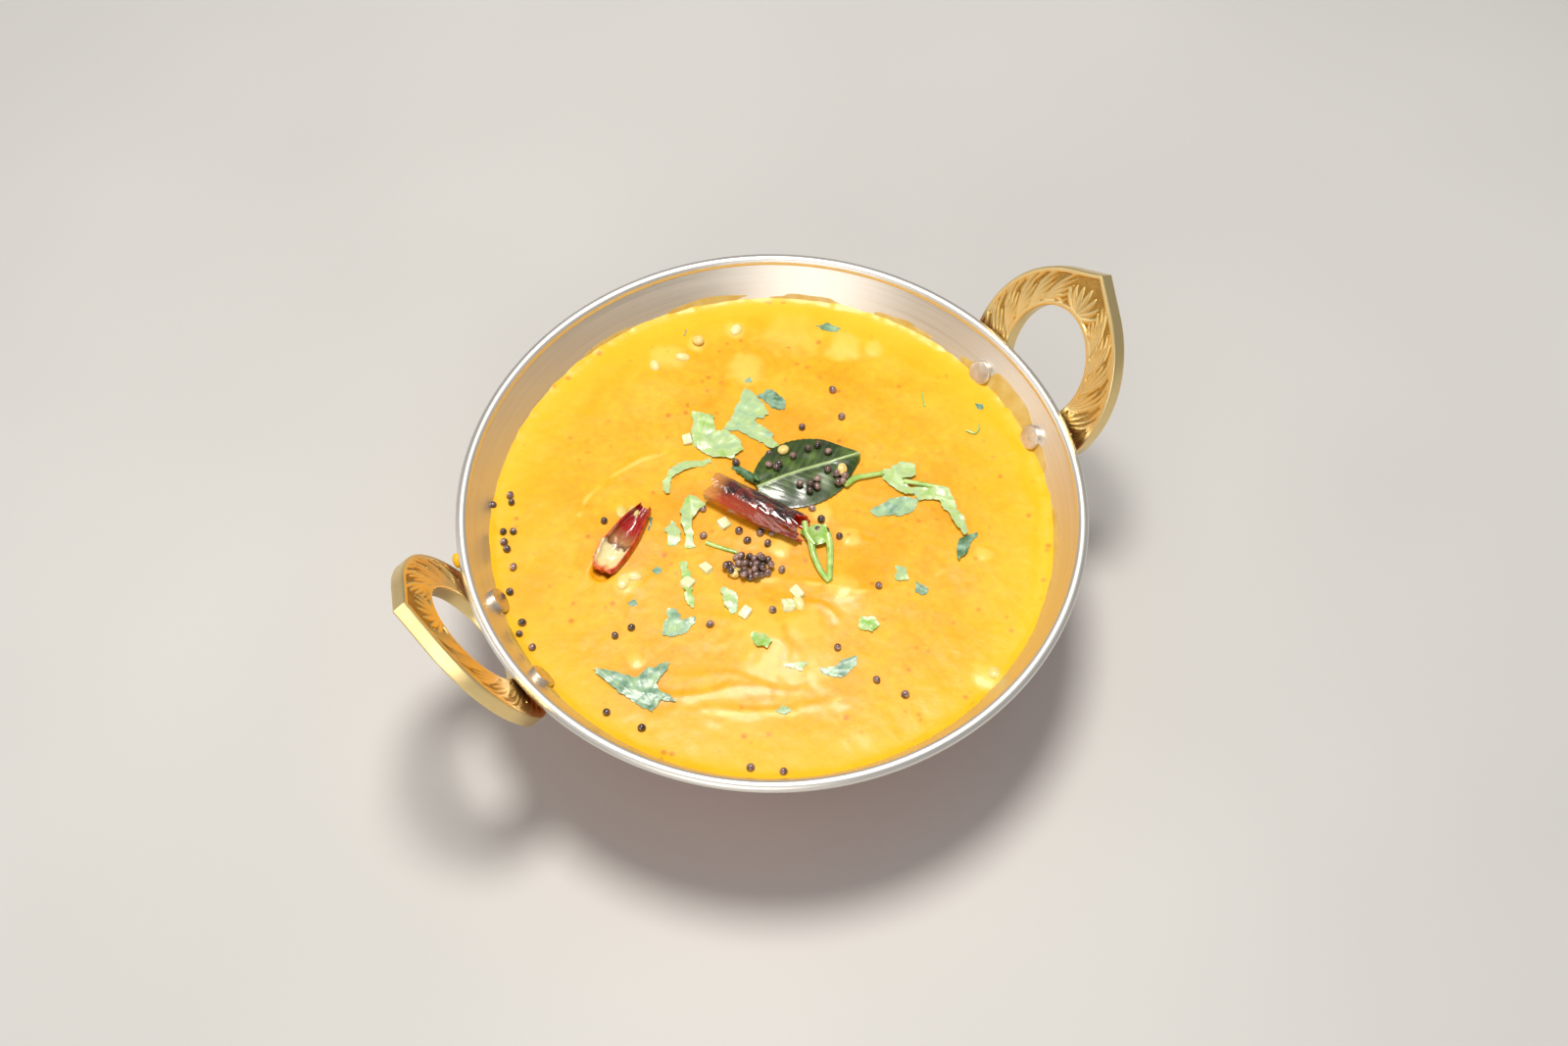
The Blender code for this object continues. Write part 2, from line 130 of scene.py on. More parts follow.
LAMPS = (  # (name, place, width, watts, colour), each a soft disc aimed at the bowl
    ("overhead", (0.04, 0.11, 0.76), 0.22, 5.3, "#FFFBF4"),
    ("side_fill", (-0.50, -0.54, 0.38), 0.6, 2.1, "#FFFAF4"),
    ("far_fill", (-1.05, 0.61, 0.46), 0.8, 2.5, "#FFFAF4"),
)
for name, place, width, watts, colour in LAMPS:
    light = bpy.data.lights.new(name, "AREA")
    light.shape = "DISK"
    light.size = width
    light.energy = watts
    light.color = linear(colour)[:3]
    lamp = bpy.data.objects.new(name, light)
    lamp.location = place
    lamp.rotation_euler = (-Vector(place)).to_track_quat("-Z", "Y").to_euler()
    bpy.context.scene.collection.objects.link(lamp)

VIEW_AIM = Vector((-0.0007, -0.00635, 0.0437))
VIEW_AZIMUTH = math.radians(-30.74)
VIEW_ELEVATION = math.radians(58.26)
VIEW_DISTANCE = 0.42
VIEW_ROLL = math.radians(1.02)
camera_data = bpy.data.cameras.new("camera")
camera_data.lens = 43.82
camera_data.sensor_width = 36.0
camera_data.clip_start = 0.01
camera = bpy.data.objects.new("camera", camera_data)
away = Vector((
    math.sin(VIEW_AZIMUTH) * math.cos(VIEW_ELEVATION),
    -math.cos(VIEW_AZIMUTH) * math.cos(VIEW_ELEVATION),
    math.sin(VIEW_ELEVATION),
))
turn = away.to_track_quat("Z", "Y").to_matrix().to_4x4() @ Matrix.Rotation(VIEW_ROLL, 4, "Z")
camera.matrix_world = Matrix.Translation(VIEW_AIM + away * VIEW_DISTANCE) @ turn
bpy.context.scene.collection.objects.link(camera)
bpy.context.scene.camera = camera

# ---- Steel liner with its rolled rim ----
# The bowl's inside is one sheet of 18/8 stainless steel, spun on a lathe and satin brushed as it turned, so
# its fine scratches run round. Its edge is rolled over the copper's into a bead.

SHEET = 0.0005  # of steel, and of copper
GAP = 0.0003  # between the two sheets in the frame
WALL = 2 * SHEET + GAP
BEAD_RADIUS = 0.0013
WALL_SLOPE = math.radians(58)
CORNER_RADIUS = 0.028
steel_low, steel_high = (Vector(corner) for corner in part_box("bowl_steel"))
rim_radius = (steel_high.x - steel_low.x) / 2
bead_centre = np.array((rim_radius - BEAD_RADIUS, steel_high.z - BEAD_RADIUS))
up_wall = np.array((math.cos(WALL_SLOPE), math.sin(WALL_SLOPE)))
out_of_wall = np.array((math.sin(WALL_SLOPE), -math.cos(WALL_SLOPE)))
corner_height = WALL + CORNER_RADIUS
base_radius = bead_centre[0] + (
    (corner_height - bead_centre[1]) * up_wall[0] - CORNER_RADIUS - SHEET / 2
) / up_wall[1]


def on_wall(offset, along):
    """(radius, height) on the straight wall: offset outwards from the steel's inner face, along up it
    from the bead."""
    return bead_centre + (offset - SHEET / 2) * out_of_wall + along * up_wall


def wall_radius(offset, height):
    """The radius of the straight wall's offset face at this height."""
    level = bead_centre[1] + (offset - SHEET / 2) * out_of_wall[1]
    return bead_centre[0] + (offset - SHEET / 2) * out_of_wall[0] + (height - level) / math.tan(WALL_SLOPE)


def bowl_curve(offset, top, base_steps, arc_steps, wall_steps):
    """The section at this offset, from the axis over the base, round the corner and up the wall to the
    point top."""
    radius = CORNER_RADIUS + offset
    floor = corner_height - radius
    points = [(base_radius * step / base_steps, floor) for step in range(base_steps)]
    for step in range(arc_steps + 1):
        turn = WALL_SLOPE * step / arc_steps
        points.append((base_radius + radius * math.sin(turn), corner_height - radius * math.cos(turn)))
    last = np.array(points[-1])
    points += [tuple(last + (np.array(top) - last) * step / wall_steps) for step in range(1, wall_steps + 1)]
    return points


def bead_arc(radius, steps):
    """Points round the rolled bead, from the steel's inner face over the top to its outer face."""
    reach = math.pi - math.asin(SHEET / 2 / radius)
    points = []
    for step in range(steps + 1):
        turn = -reach + 2 * reach * step / steps
        points.append(tuple(bead_centre + radius * (math.cos(turn) * up_wall + math.sin(turn) * out_of_wall)))
    return points


def skin(name, rows, material, loop=False, crease=40):
    """A closed piece through rings of points. A ring of one point is a pole, and loop joins the last ring to
    the first. Edges sharper than crease degrees stay crisp."""
    starts = np.cumsum([0] + [len(row) for row in rows])
    points = np.concatenate([np.asarray(row, float).reshape(-1, 3) for row in rows])
    faces = []
    pairs = [(i, i + 1) for i in range(len(rows) - 1)] + ([(len(rows) - 1, 0)] if loop else [])
    for first, second in pairs:
        a, b = len(rows[first]), len(rows[second])
        count = max(a, b)
        i = np.arange(count)
        j = (i + 1) % count
        if a == 1:
            faces += np.stack([i * 0 + starts[first], starts[second] + j, starts[second] + i], 1).tolist()
        elif b == 1:
            faces += np.stack([starts[first] + i, starts[first] + j, i * 0 + starts[second]], 1).tolist()
        else:
            quad = [starts[first] + i, starts[first] + j, starts[second] + j, starts[second] + i]
            faces += np.stack(quad, 1).tolist()
    return mesh_piece(name, points, faces, material, crease)


def mesh_piece(name, points, faces, material, crease=40):
    """A smooth shaded object of these points and faces, all facing out, with edges over crease degrees
    kept crisp."""
    mesh = bpy.data.meshes.new(name)
    mesh.from_pydata([tuple(point) for point in points], [], faces)
    bm = bmesh.new()
    bm.from_mesh(mesh)
    bmesh.ops.recalc_face_normals(bm, faces=bm.faces)
    bm.to_mesh(mesh)
    bm.free()
    mesh.shade_smooth()
    mesh.set_sharp_from_angle(angle=math.radians(crease))
    mesh.materials.append(material)
    made = bpy.data.objects.new(name, mesh)
    bpy.context.scene.collection.objects.link(made)
    return made


def ring(radius, height, count):
    """One turned ring, or the pole where the radius is nothing. radius and height may vary round it."""
    if np.max(radius) < 1e-9:
        return np.array([(0.0, 0.0, float(np.max(height)))])
    turn = np.arange(count) * math.tau / count
    return np.stack([radius * np.cos(turn), radius * np.sin(turn), height + 0 * turn], 1)


# satin: long soft highlights, and scratches finer than a hair that run round the bowl
BRUSH_MM = 0.35  # real scratches are about 0.05 mm apart, too fine to show
SCRATCH_LENGTH_MM = 40
steel, tree, shader, place = new_material("satin_stainless_steel", Metallic=1.0)
stretched = (1000 / SCRATCH_LENGTH_MM, 1000 / SCRATCH_LENGTH_MM, 1000 / BRUSH_MM)
lines = add(tree, "ShaderNodeMapping", {0: place, 3: stretched})
scratches = add(tree, "ShaderNodeTexNoise", {0: lines, "Scale": 1.0, "Detail": 3.0})
cloud = add(tree, "ShaderNodeTexNoise", {0: place, "Scale": 1000 / 22.2, "Detail": 2.0})
tone = add(tree, "ShaderNodeValToRGB", {0: scratches}, stops=[(0.3, "#E0DBD2"), (0.7, "#EAE6DF")])
rough = add(tree, "ShaderNodeMapRange", {0: scratches, 1: 0.25, 2: 0.75, 3: 0.33, 4: 0.42})
haze = add(tree, "ShaderNodeMath", {0: cloud, 1: 0.08}, operation="MULTIPLY")
dull = add(tree, "ShaderNodeMath", {0: rough, 1: haze}, operation="ADD")
bump = add(tree, "ShaderNodeBump", {"Height": scratches, "Strength": 0.3, "Distance": 0.00001})
fill(tree, shader, {"Base Color": tone, "Roughness": dull, "Normal": bump})

LINER_STEPS = 288
bead = bead_arc(BEAD_RADIUS, 28)
liner_profile = bowl_curve(0, bead[0], 3, 10, 26) + bead[1:-1] + bowl_curve(SHEET, bead[-1], 3, 10, 6)[::-1]
liner = skin(
    "steel_liner", [ring(radius, height, LINER_STEPS) for radius, height in liner_profile], steel, crease=50
)
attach(liner, "root")
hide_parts("bowl_steel")

# ---- Copper shell ----
# The outside is one sheet of copper, beaten by hand over a stake in rings of small overlapping dents and then
# polished. A plain band is left under the rim and the base is flat from the stake.

DENT_SPACING = 0.0052
DENT_DEPTH = 0.00016
PLAIN_BAND = 0.0045
SHELL_STEPS = 560


def scramble(a, b, salt):
    """A repeatable number from 0 to 1 for each pair of whole numbers."""
    mixed = np.sin(a * 127.1 + b * 311.7 + salt * 74.7) * 43758.5453
    return mixed - np.floor(mixed)


def dents(along, turn, radius):
    """How far the metal stands proud of its dents' floors: nothing at the middle of each, a ridge between
    two."""
    nearest = np.full(turn.shape, 1.0)
    for row_step in (-1, 0, 1):
        row = np.round(along / DENT_SPACING) + row_step
        count = np.maximum(6, np.round(math.tau * radius / DENT_SPACING))
        shift = 0.5 * (row % 2)
        for step in (-1, 0, 1):
            column = np.round(turn / math.tau * count - shift) + step
            wrapped = column % count
            drift = (scramble(row, wrapped, 1) - 0.5) * 0.45
            lift = (scramble(row, wrapped, 2) - 0.5) * 0.45
            side = (turn / math.tau - (column + shift + drift) / count) * math.tau * radius / DENT_SPACING
            up = along / DENT_SPACING - row - lift
            nearest = np.minimum(nearest, np.hypot(side, up))
    return np.clip(nearest / 0.72, 0, 1) ** 2


# beaten and polished: warm mirror patches broken up by the dents, browner where hands don't rub it
copper, tree, shader, place = new_material("beaten_copper", Metallic=1.0)
patina = add(tree, "ShaderNodeTexNoise", {0: place, "Scale": 1000 / 16.7, "Detail": 4.0})
polish = add(tree, "ShaderNodeTexNoise", {0: place, "Scale": 1000 / 0.667, "Detail": 2.0})
tone = add(
    tree, "ShaderNodeValToRGB", {0: patina},
    stops=[(0.32, "#B4663F"), (0.5, "#D98A62"), (0.7, "#E59A73")],
)
rough = add(tree, "ShaderNodeMapRange", {0: patina, 1: 0.3, 2: 0.7, 3: 0.30, 4: 0.17})
bump = add(tree, "ShaderNodeBump", {"Height": polish, "Strength": 0.06, "Distance": 0.0001})
fill(tree, shader, {"Base Color": tone, "Roughness": rough, "Normal": bump})

shell_top = -(BEAD_RADIUS - 0.0002)  # its edge is tucked just into the bead
FADE_AT_TOP = 0.002
FADE_AT_BASE = 0.003
outer = bowl_curve(WALL, on_wall(WALL, shell_top), 14, 34, 52)
inner = bowl_curve(SHEET + GAP, on_wall(SHEET + GAP, shell_top), 3, 10, 4)
turn = np.arange(SHELL_STEPS) * math.tau / SHELL_STEPS
rows, travelled = [], 0.0
wall_length = sum(math.dist(a, b) for a, b in zip(outer, outer[1:]))
for index, (radius, height) in enumerate(outer):
    if index:
        travelled += math.dist(outer[index - 1], outer[index])
    before, after = outer[max(index - 1, 0)], outer[min(index + 1, len(outer) - 1)]
    slope = math.atan2(after[1] - before[1], after[0] - before[0])
    fade = np.clip((wall_length - travelled - PLAIN_BAND) / FADE_AT_TOP, 0, 1)
    fade *= np.clip((travelled - base_radius) / FADE_AT_BASE, 0, 1)
    push = (dents(np.full(SHELL_STEPS, travelled), turn, radius) - 0.5) * DENT_DEPTH * fade if radius else 0.0
    rows.append(ring(radius + push * math.sin(slope), height - push * math.cos(slope), SHELL_STEPS))
for radius, height in inner[::-1]:
    rows.append(ring(radius, height, SHELL_STEPS))
shell = skin("copper_shell", rows, copper, crease=60)
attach(shell, "root")
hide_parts("bowl_copper")

# ---- Brass ring handles ----
# Each is one brass casting: a flat pointed ring that leans out, with leaf scrolls chased into the face
# towards the food and plain polished edges. Its two feet swell to meet the wall, where they are riveted.

HANDLE_TILT = math.radians(62.84)
HANDLE_REACH = 0.0695
PLATE_THICKNESS = 0.0034
EDGE_ROUND = 0.00035
RING_HALF_WIDTH = 0.0213
RING_WIDEST = 0.0020
RING_FOOT = -0.0150
EYE_CENTRE = 0.0045
EYE_HALF_WIDTH = 0.0118
EYE_HALF_HEIGHT = 0.0140
ARCH_RADIUS = 0.0285
TIP_FLICK = 0.0016
TIP_FLICK_HALF_WIDTH = 0.008
FOOT_SQUARENESS = 2.6
RIVET_HEIGHT = 0.0366
RIVET_SPREAD = math.radians(9.67)
RING_STEPS = 700
FACE_STEPS = 62
PLAIN_BORDER = 0.0007
CARVING_DEPTH = 0.00034


def ring_outline(count):
    """(across, up) points round the plate, from one side over the tip and back round the foot."""
    half = count // 2
    inset = ARCH_RADIUS - RING_HALF_WIDTH
    arch_turn = math.acos(inset / ARCH_RADIUS)
    arch = []
    for step in range(half // 2 + 1):
        turn = arch_turn * step / (half // 2)
        across = ARCH_RADIUS * math.cos(turn) - inset
        flick = TIP_FLICK * max(0.0, 1 - across / TIP_FLICK_HALF_WIDTH) ** 2
        arch.append((across, RING_WIDEST + ARCH_RADIUS * math.sin(turn) + flick))
    points = arch + [(-across, up) for across, up in arch[-2::-1]]
    drop = RING_WIDEST - RING_FOOT
    power = 2 / FOOT_SQUARENESS
    for step in range(1, half):
        turn = math.pi * step / half
        cosine = math.cos(turn)
        across = -RING_HALF_WIDTH * math.copysign(abs(cosine) ** power, cosine)
        points.append((across, RING_WIDEST - drop * math.sin(turn) ** power))
    return np.array(points)


outline = ring_outline(RING_STEPS)
turn = np.arctan2((outline[:, 1] - EYE_CENTRE) / EYE_HALF_HEIGHT, outline[:, 0] / EYE_HALF_WIDTH)
eye = np.stack([EYE_HALF_WIDTH * np.cos(turn), EYE_CENTRE + EYE_HALF_HEIGHT * np.sin(turn)], 1)


def beside(x, y, points):
    """(distance to the broken line, signed side, share of the way along it)."""
    gap = np.full(np.shape(x), 1e9)
    side, part = np.zeros(np.shape(x)), np.zeros(np.shape(x))
    for index, (a, b) in enumerate(zip(points, points[1:])):
        a, b = np.array(a, float), np.array(b, float)
        line = b - a
        along = np.clip(((x - a[0]) * line[0] + (y - a[1]) * line[1]) / (line @ line), 0, 1)
        off_x, off_y = x - a[0] - along * line[0], y - a[1] - along * line[1]
        here = np.hypot(off_x, off_y)
        closer = here < gap
        gap = np.where(closer, here, gap)
        side = np.where(closer, np.sign(line[0] * off_y - line[1] * off_x), side)
        part = np.where(closer, (index + along) / (len(points) - 1), part)
    return gap, side, part


def smooth(value):
    """An even rise from 0 to 1 without a corner at either end."""
    value = np.clip(value, 0, 1)
    return value * value * (3 - 2 * value)


def leaf_ridge(across, up, path, width):
    """The height of one chased leaf, a rounded ridge that tapers to both ends of its path."""
    gap, _, part = beside(across, up, path)
    half = width * np.sin(np.pi * (0.10 + 0.86 * part)) ** 0.65
    return np.sqrt(np.clip(1 - (gap / half) ** 2, 0, 1))


SPRAY_STARTS = (-1.20, -0.88, -0.56, -0.24, 0.08, 0.40, 0.72)  # radians round the eye from straight across
SPRAY_LEAVES = 5
CORNER_LEAVES = 3
FAN_LEAVES = 3  # on each side of the fan's middle one
SPRAY_LEAF_WIDTH = 0.00060
CORNER_LEAF_WIDTH = 0.00048
FAN_LEAF_WIDTH = 0.00078
FAN_GAP = 0.0013  # between the eye and the fan's root
outward = (outline - eye) / np.linalg.norm(outline - eye, axis=1)[:, None]


def on_band(angle, share):
    """A point on the plate, share of the way from the eye's edge out, at this angle round the eye."""
    order = np.argsort(turn)
    across = outline - eye
    width = np.interp(angle, turn[order], np.linalg.norm(across, axis=1)[order])
    spot = np.array((EYE_HALF_WIDTH * math.cos(angle), EYE_CENTRE + EYE_HALF_HEIGHT * math.sin(angle)))
    way = np.array([np.interp(angle, turn[order], across[order, axis]) for axis in (0, 1)])
    return spot + way / np.linalg.norm(way) * width * share


def spray_leaves(start):
    """(height, width, path) of each leaf of one spray, from this angle round the eye."""
    for leaf in range(SPRAY_LEAVES):
        far, near = 0.94 - 0.17 * leaf, 0.05 + 0.01 * leaf
        path = []
        for part in np.linspace(0, 1, 9):
            bend = smooth(part * 1.05) * (far - near) + 0.08 * math.sin(math.tau * part)
            path.append(on_band(start + 0.055 * leaf + 0.60 * (1 - 0.12 * leaf) * part, near + bend))
        yield 1 - 0.05 * leaf, SPRAY_LEAF_WIDTH, path
    for leaf in range(CORNER_LEAVES):  # short leaves that fill the spray's outer corner
        path = []
        for step in range(6):
            part = step / 5
            angle = start - 0.02 - 0.10 * leaf + (0.30 - 0.05 * leaf) * part
            path.append(on_band(angle, 0.62 + 0.10 * leaf + 0.26 * part - 0.06 * leaf * part))
        yield 0.85, CORNER_LEAF_WIDTH, path


def fan_leaves():
    """(height, width, path) of each leaf of the fan at the tip."""
    root = EYE_CENTRE + EYE_HALF_HEIGHT + FAN_GAP
    for number in range(-FAN_LEAVES, FAN_LEAVES + 1):
        length = 0.0068 - 0.0005 * abs(number)
        path = []
        for step in range(6):
            part = step / 5
            heading = 0.44 * number * (1 - 0.35 * part)
            rise = root - 0.00012 * abs(number) + length * part * math.cos(heading)
            path.append((0.0004 * number + length * part * math.sin(heading), rise))
        yield 1.0, FAN_LEAF_WIDTH, path


def carving(across, up):
    """The chased face, 0 in the ground and 1 on the crests: long sprays that sweep up each side to a fan
    at the tip."""
    leaves = [leaf for start in SPRAY_STARTS for leaf in spray_leaves(start)]
    leaves += [(crest, width, [(-x, y) for x, y in path]) for crest, width, path in leaves]
    height = np.zeros_like(across)
    for crest, width, path in leaves + list(fan_leaves()):
        height = np.maximum(height, crest * leaf_ridge(across, up, path, width))
    return height


# chased cast brass: tarnish stays in the ground, and rubbing keeps the crests and the edges bright
brass, tree, shader, place = new_material("chased_cast_brass", Metallic=1.0)
relief = add(tree, "ShaderNodeAttribute", attribute_name="relief")
wear = add(tree, "ShaderNodeTexNoise", {0: place, "Scale": 1000 / 3.125, "Detail": 4.0})
film = add(tree, "ShaderNodeTexNoise", {0: place, "Scale": 1000 / 14.3, "Detail": 3.0})
grime = add(tree, "ShaderNodeMath", {0: wear, 1: 0.3}, operation="MULTIPLY")
level = add(tree, "ShaderNodeMath", {0: relief.outputs["Fac"], 1: grime}, operation="ADD")
tone = add(
    tree, "ShaderNodeValToRGB", {0: level},
    stops=[(0.12, "#8E6A30"), (0.40, "#CBA657"), (0.75, "#E2C57C"), (1.0, "#F0DAA0")],
)
dimmed = add(tree, "ShaderNodeMapRange", {0: film, 3: 0.0, 4: 0.45})
cast = add(tree, "ShaderNodeMix", {0: dimmed, 6: tone, 7: linear("#DDB268")}, data_type="RGBA")
rough = add(tree, "ShaderNodeMapRange", {0: level, 1: 0.1, 2: 1.0, 3: 0.54, 4: 0.33})
bump = add(tree, "ShaderNodeBump", {"Height": wear, "Strength": 0.18, "Distance": 0.0002})
fill(tree, shader, {"Base Color": cast.outputs[2], "Roughness": rough, "Normal": bump})

up_plate = np.array((math.cos(HANDLE_TILT), 0, math.sin(HANDLE_TILT)))
out_of_plate = np.array((math.sin(HANDLE_TILT), 0, -math.cos(HANDLE_TILT)))
plate_origin = np.array((HANDLE_REACH, 0, bead_centre[1]))


def on_plate(across, up, out):
    """World points of the +X handle from (across, up the plate, out through it)."""
    across, up, out = np.broadcast_arrays(across, up, out)
    along_plate = across[..., None] * np.array((0, 1, 0)) + up[..., None] * up_plate
    return plate_origin + along_plate + out[..., None] * out_of_plate


def rivet_places():
    """(point on the steel's inner face, wall normal) of each rivet at the +X handle."""
    for spread in (-RIVET_SPREAD, RIVET_SPREAD):
        radius = wall_radius(0, RIVET_HEIGHT)
        point = np.array((radius * math.cos(spread), radius * math.sin(spread), RIVET_HEIGHT))
        normal = np.array((
            out_of_wall[0] * math.cos(spread), out_of_wall[0] * math.sin(spread), out_of_wall[1],
        ))
        yield point, normal


STIPPLE = 0.00035  # between the punched dots of the ground
BORDER_EASE = 0.0003
FOOT_SPREAD = 0.0066  # how far from a rivet's axis the foot starts to swell
FOOT_EASE = 0.0026
FOOT_TOP = 0.0022  # below the bead's centre
FOOT_FILL = 0.985


def foot_reach(face):
    """How far the plate's inner face swells at each point, until its feet rest on the wall round the
    rivets."""
    reach = np.zeros(face.shape[:-1])
    free = (np.hypot(face[..., 0], face[..., 1]) - wall_radius(WALL, face[..., 2])) * math.sin(WALL_SLOPE)
    for point, normal in rivet_places():
        offset = face - point
        away = np.linalg.norm(offset - (offset @ normal)[..., None] * normal, axis=-1)
        swell = smooth((FOOT_SPREAD - away) / FOOT_EASE)
        reach = np.maximum(
            reach, swell * np.clip(free / FOOT_FILL, 0, 1) * (face[..., 2] < bead_centre[1] - FOOT_TOP)
        )
    return reach


def plate_sections():
    """Every section round the ring, as points across the face, down the eye's wall, over the back and up
    the edge."""
    share = (np.arange(FACE_STEPS + 1) / FACE_STEPS)[None, :]
    corner = outward * EDGE_ROUND
    low, high = eye + corner, outline - corner
    across = high[:, :1] * (1 - share) + low[:, :1] * share
    up = high[:, 1:] * (1 - share) + low[:, 1:] * share
    from_edge = np.minimum(share, 1 - share) * np.linalg.norm(high - low, axis=1)[:, None]
    framed = smooth((from_edge - PLAIN_BORDER) / BORDER_EASE)
    leaves = carving(across, up)
    stipple = scramble(np.floor(across / STIPPLE), np.floor(up / STIPPLE), 3)
    relief = 1 - framed * (1 - leaves * 0.95 - 0.12 * stipple * (leaves < 0.1))
    face = on_plate(across, up, CARVING_DEPTH * (1 - relief))
    reach = foot_reach(face)
    back = PLATE_THICKNESS - EDGE_ROUND
    turns = np.linspace(0, math.pi / 2, 4)
    # the eye's wall, the back and the outer edge, with a small round at each corner, as (outline, depth)
    edges = [(low - corner * math.sin(step), EDGE_ROUND * (1 - math.cos(step))) for step in turns[1:]]
    edges += [(eye, depth) for depth in np.linspace(EDGE_ROUND, back, 6)[1:]]
    edges += [(eye + corner * (1 - math.cos(step)), back + EDGE_ROUND * math.sin(step)) for step in turns[1:]]
    edges += [(low * (1 - part) + high * part, PLATE_THICKNESS) for part in np.linspace(0, 1, 14)[1:-1]]
    for step in turns:
        edges.append(
            (outline - corner * (1 - math.sin(step)), PLATE_THICKNESS - EDGE_ROUND * (1 - math.cos(step)))
        )
    edges += [(outline, depth) for depth in np.linspace(back, EDGE_ROUND, 6)[1:]]
    for step in turns[1:-1]:
        edges.append((outline - corner * (1 - math.cos(step)), EDGE_ROUND * (1 - math.sin(step))))
    rows = [face - reach[..., None] * out_of_plate]
    rows += [on_plate(edge[:, :1], edge[:, 1:], depth) for edge, depth in edges]
    levels = [np.where(reach > 0.0002, 0.9, relief)] + [np.full((RING_STEPS, 1), 0.85)] * len(edges)
    return np.concatenate(rows, axis=1), np.concatenate(levels, axis=1)


def paint(piece, **layers):
    """Stores these values at the points of the piece's mesh, for its material to read."""
    for name, values in layers.items():
        layer = piece.data.attributes.new(name, "FLOAT", "POINT")
        layer.data.foreach_set("value", np.ravel(values).astype(np.float32))


sections, brightness = plate_sections()
for side, flip in (("right", 1), ("left", -1)):
    handle = skin(
        f"brass_handle_{side}", list(sections * np.array((flip, flip, 1))), brass, loop=True, crease=32
    )
    paint(handle, relief=brightness)
    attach(handle, "root")
    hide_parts(f"handle_{side}")

# ---- Steel rivets ----
# Four flat headed steel rivets, two at each handle, come from inside the bowl through both sheets and the
# handle, and their tails are hammered into low domes on the handle's back.

RIVET_HEAD_RADIUS = 0.0029
RIVET_HEAD_HEIGHT = 0.0012
RIVET_SHANK = 0.0015
RIVET_TAIL = 0.0024
RIVET_TAIL_HEIGHT = 0.0012
RIVET_CROWN = 0.00008  # the head is very slightly domed
RIVET_ROUNDING = 0.00028
RIVET_GRIP = 0.0053  # from the head's underside to the tail's, through the wall and the handle


def turned(name, profile, count, crease=40):
    """A small piece turned round +Z from (radius, height) points. It is only a shape for copying."""
    made = skin(name, [ring(radius, height, count) for radius, height in profile], None, crease=crease)
    bpy.context.scene.collection.objects.unlink(made)
    return made


def scattering():
    """The node group that sets copies of a shape on points: upright along "facing", then turned and sized
    by chance."""
    tree = bpy.data.node_groups.new("scattering", "GeometryNodeTree")
    sockets = (
        ("Points", "NodeSocketGeometry"), ("Shape", "NodeSocketObject"), ("Turning", "NodeSocketVector"),
        ("Smallest", "NodeSocketVector"), ("Largest", "NodeSocketVector"), ("Seed", "NodeSocketInt"),
        ("Material", "NodeSocketMaterial"),
    )
    for name, kind in sockets:
        tree.interface.new_socket(name, in_out="INPUT", socket_type=kind)
    tree.interface.new_socket("Geometry", in_out="OUTPUT", socket_type="NodeSocketGeometry")
    given = add(tree, "NodeGroupInput").outputs
    facing = add(tree, "GeometryNodeInputNamedAttribute", {"Name": "facing"}, data_type="FLOAT_VECTOR")
    upright = add(tree, "FunctionNodeAlignRotationToVector", {"Vector": facing}, axis="Z")
    minus = add(tree, "ShaderNodeVectorMath", {0: given["Turning"], "Scale": -1.0}, operation="SCALE")
    turning = add(
        tree, "FunctionNodeRandomValue", {0: minus, 1: given["Turning"], "Seed": given["Seed"]},
        data_type="FLOAT_VECTOR",
    )
    turned_by = add(tree, "FunctionNodeEulerToRotation", {0: turning})
    rotation = add(
        tree, "FunctionNodeRotateRotation", {0: upright, 1: turned_by}, rotation_space="LOCAL"
    )
    sizing = add(
        tree, "FunctionNodeRandomValue", {0: given["Smallest"], 1: given["Largest"], "Seed": given["Seed"]},
        data_type="FLOAT_VECTOR",
    )
    shape = add(tree, "GeometryNodeObjectInfo", {"Object": given["Shape"]})
    copies = add(tree, "GeometryNodeInstanceOnPoints", {
        "Points": given["Points"], "Instance": shape.outputs["Geometry"],
        "Rotation": rotation, "Scale": sizing,
    })
    single = add(tree, "GeometryNodeRealizeInstances", {0: copies})
    coloured = add(tree, "GeometryNodeSetMaterial", {"Geometry": single, "Material": given["Material"]})
    add(tree, "NodeGroupOutput", {0: coloured})
    return tree


def scatter(name, shape, places, material, turning=(0, 0, 0), smallest=(1, 1, 1), largest=(1, 1, 1), seed=1):
    """One plain mesh of copies of the shape, one on each (point, facing) of places."""
    points = bpy.data.meshes.new(name + "_points")
    points.from_pydata([tuple(point) for point, facing in places], [], [])
    normals = points.attributes.new("facing", "FLOAT_VECTOR", "POINT")
    normals.data.foreach_set("vector", np.array([facing for point, facing in places], np.float32).ravel())
    holder = bpy.data.objects.new(name + "_holder", points)
    bpy.context.scene.collection.objects.link(holder)
    modifier = holder.modifiers.new("scattering", "NODES")
    modifier.node_group = scattering_group
    values = {
        "Shape": shape, "Turning": turning, "Smallest": smallest, "Largest": largest, "Seed": seed,
        "Material": material,
    }
    for item in scattering_group.interface.items_tree:
        if item.in_out == "INPUT" and item.name in values:
            modifier[item.identifier] = values[item.name]
    graph = bpy.context.evaluated_depsgraph_get()
    mesh = bpy.data.meshes.new_from_object(holder.evaluated_get(graph))
    mesh.name = name
    bpy.data.objects.remove(holder)
    bpy.data.objects.remove(shape)
    made = bpy.data.objects.new(name, mesh)
    bpy.context.scene.collection.objects.link(made)
    return made


scattering_group = scattering()

# stamped steel: duller and browner than the liner, with fine specks
rivet_steel = mottled(
    "stamped_steel", 1.43, 3.0, [(0.3, "#CDBFAE"), (0.7, "#E6DBCD")], bump=(0.15, 0.0002),
    Metallic=1.0, Roughness=0.38,
)

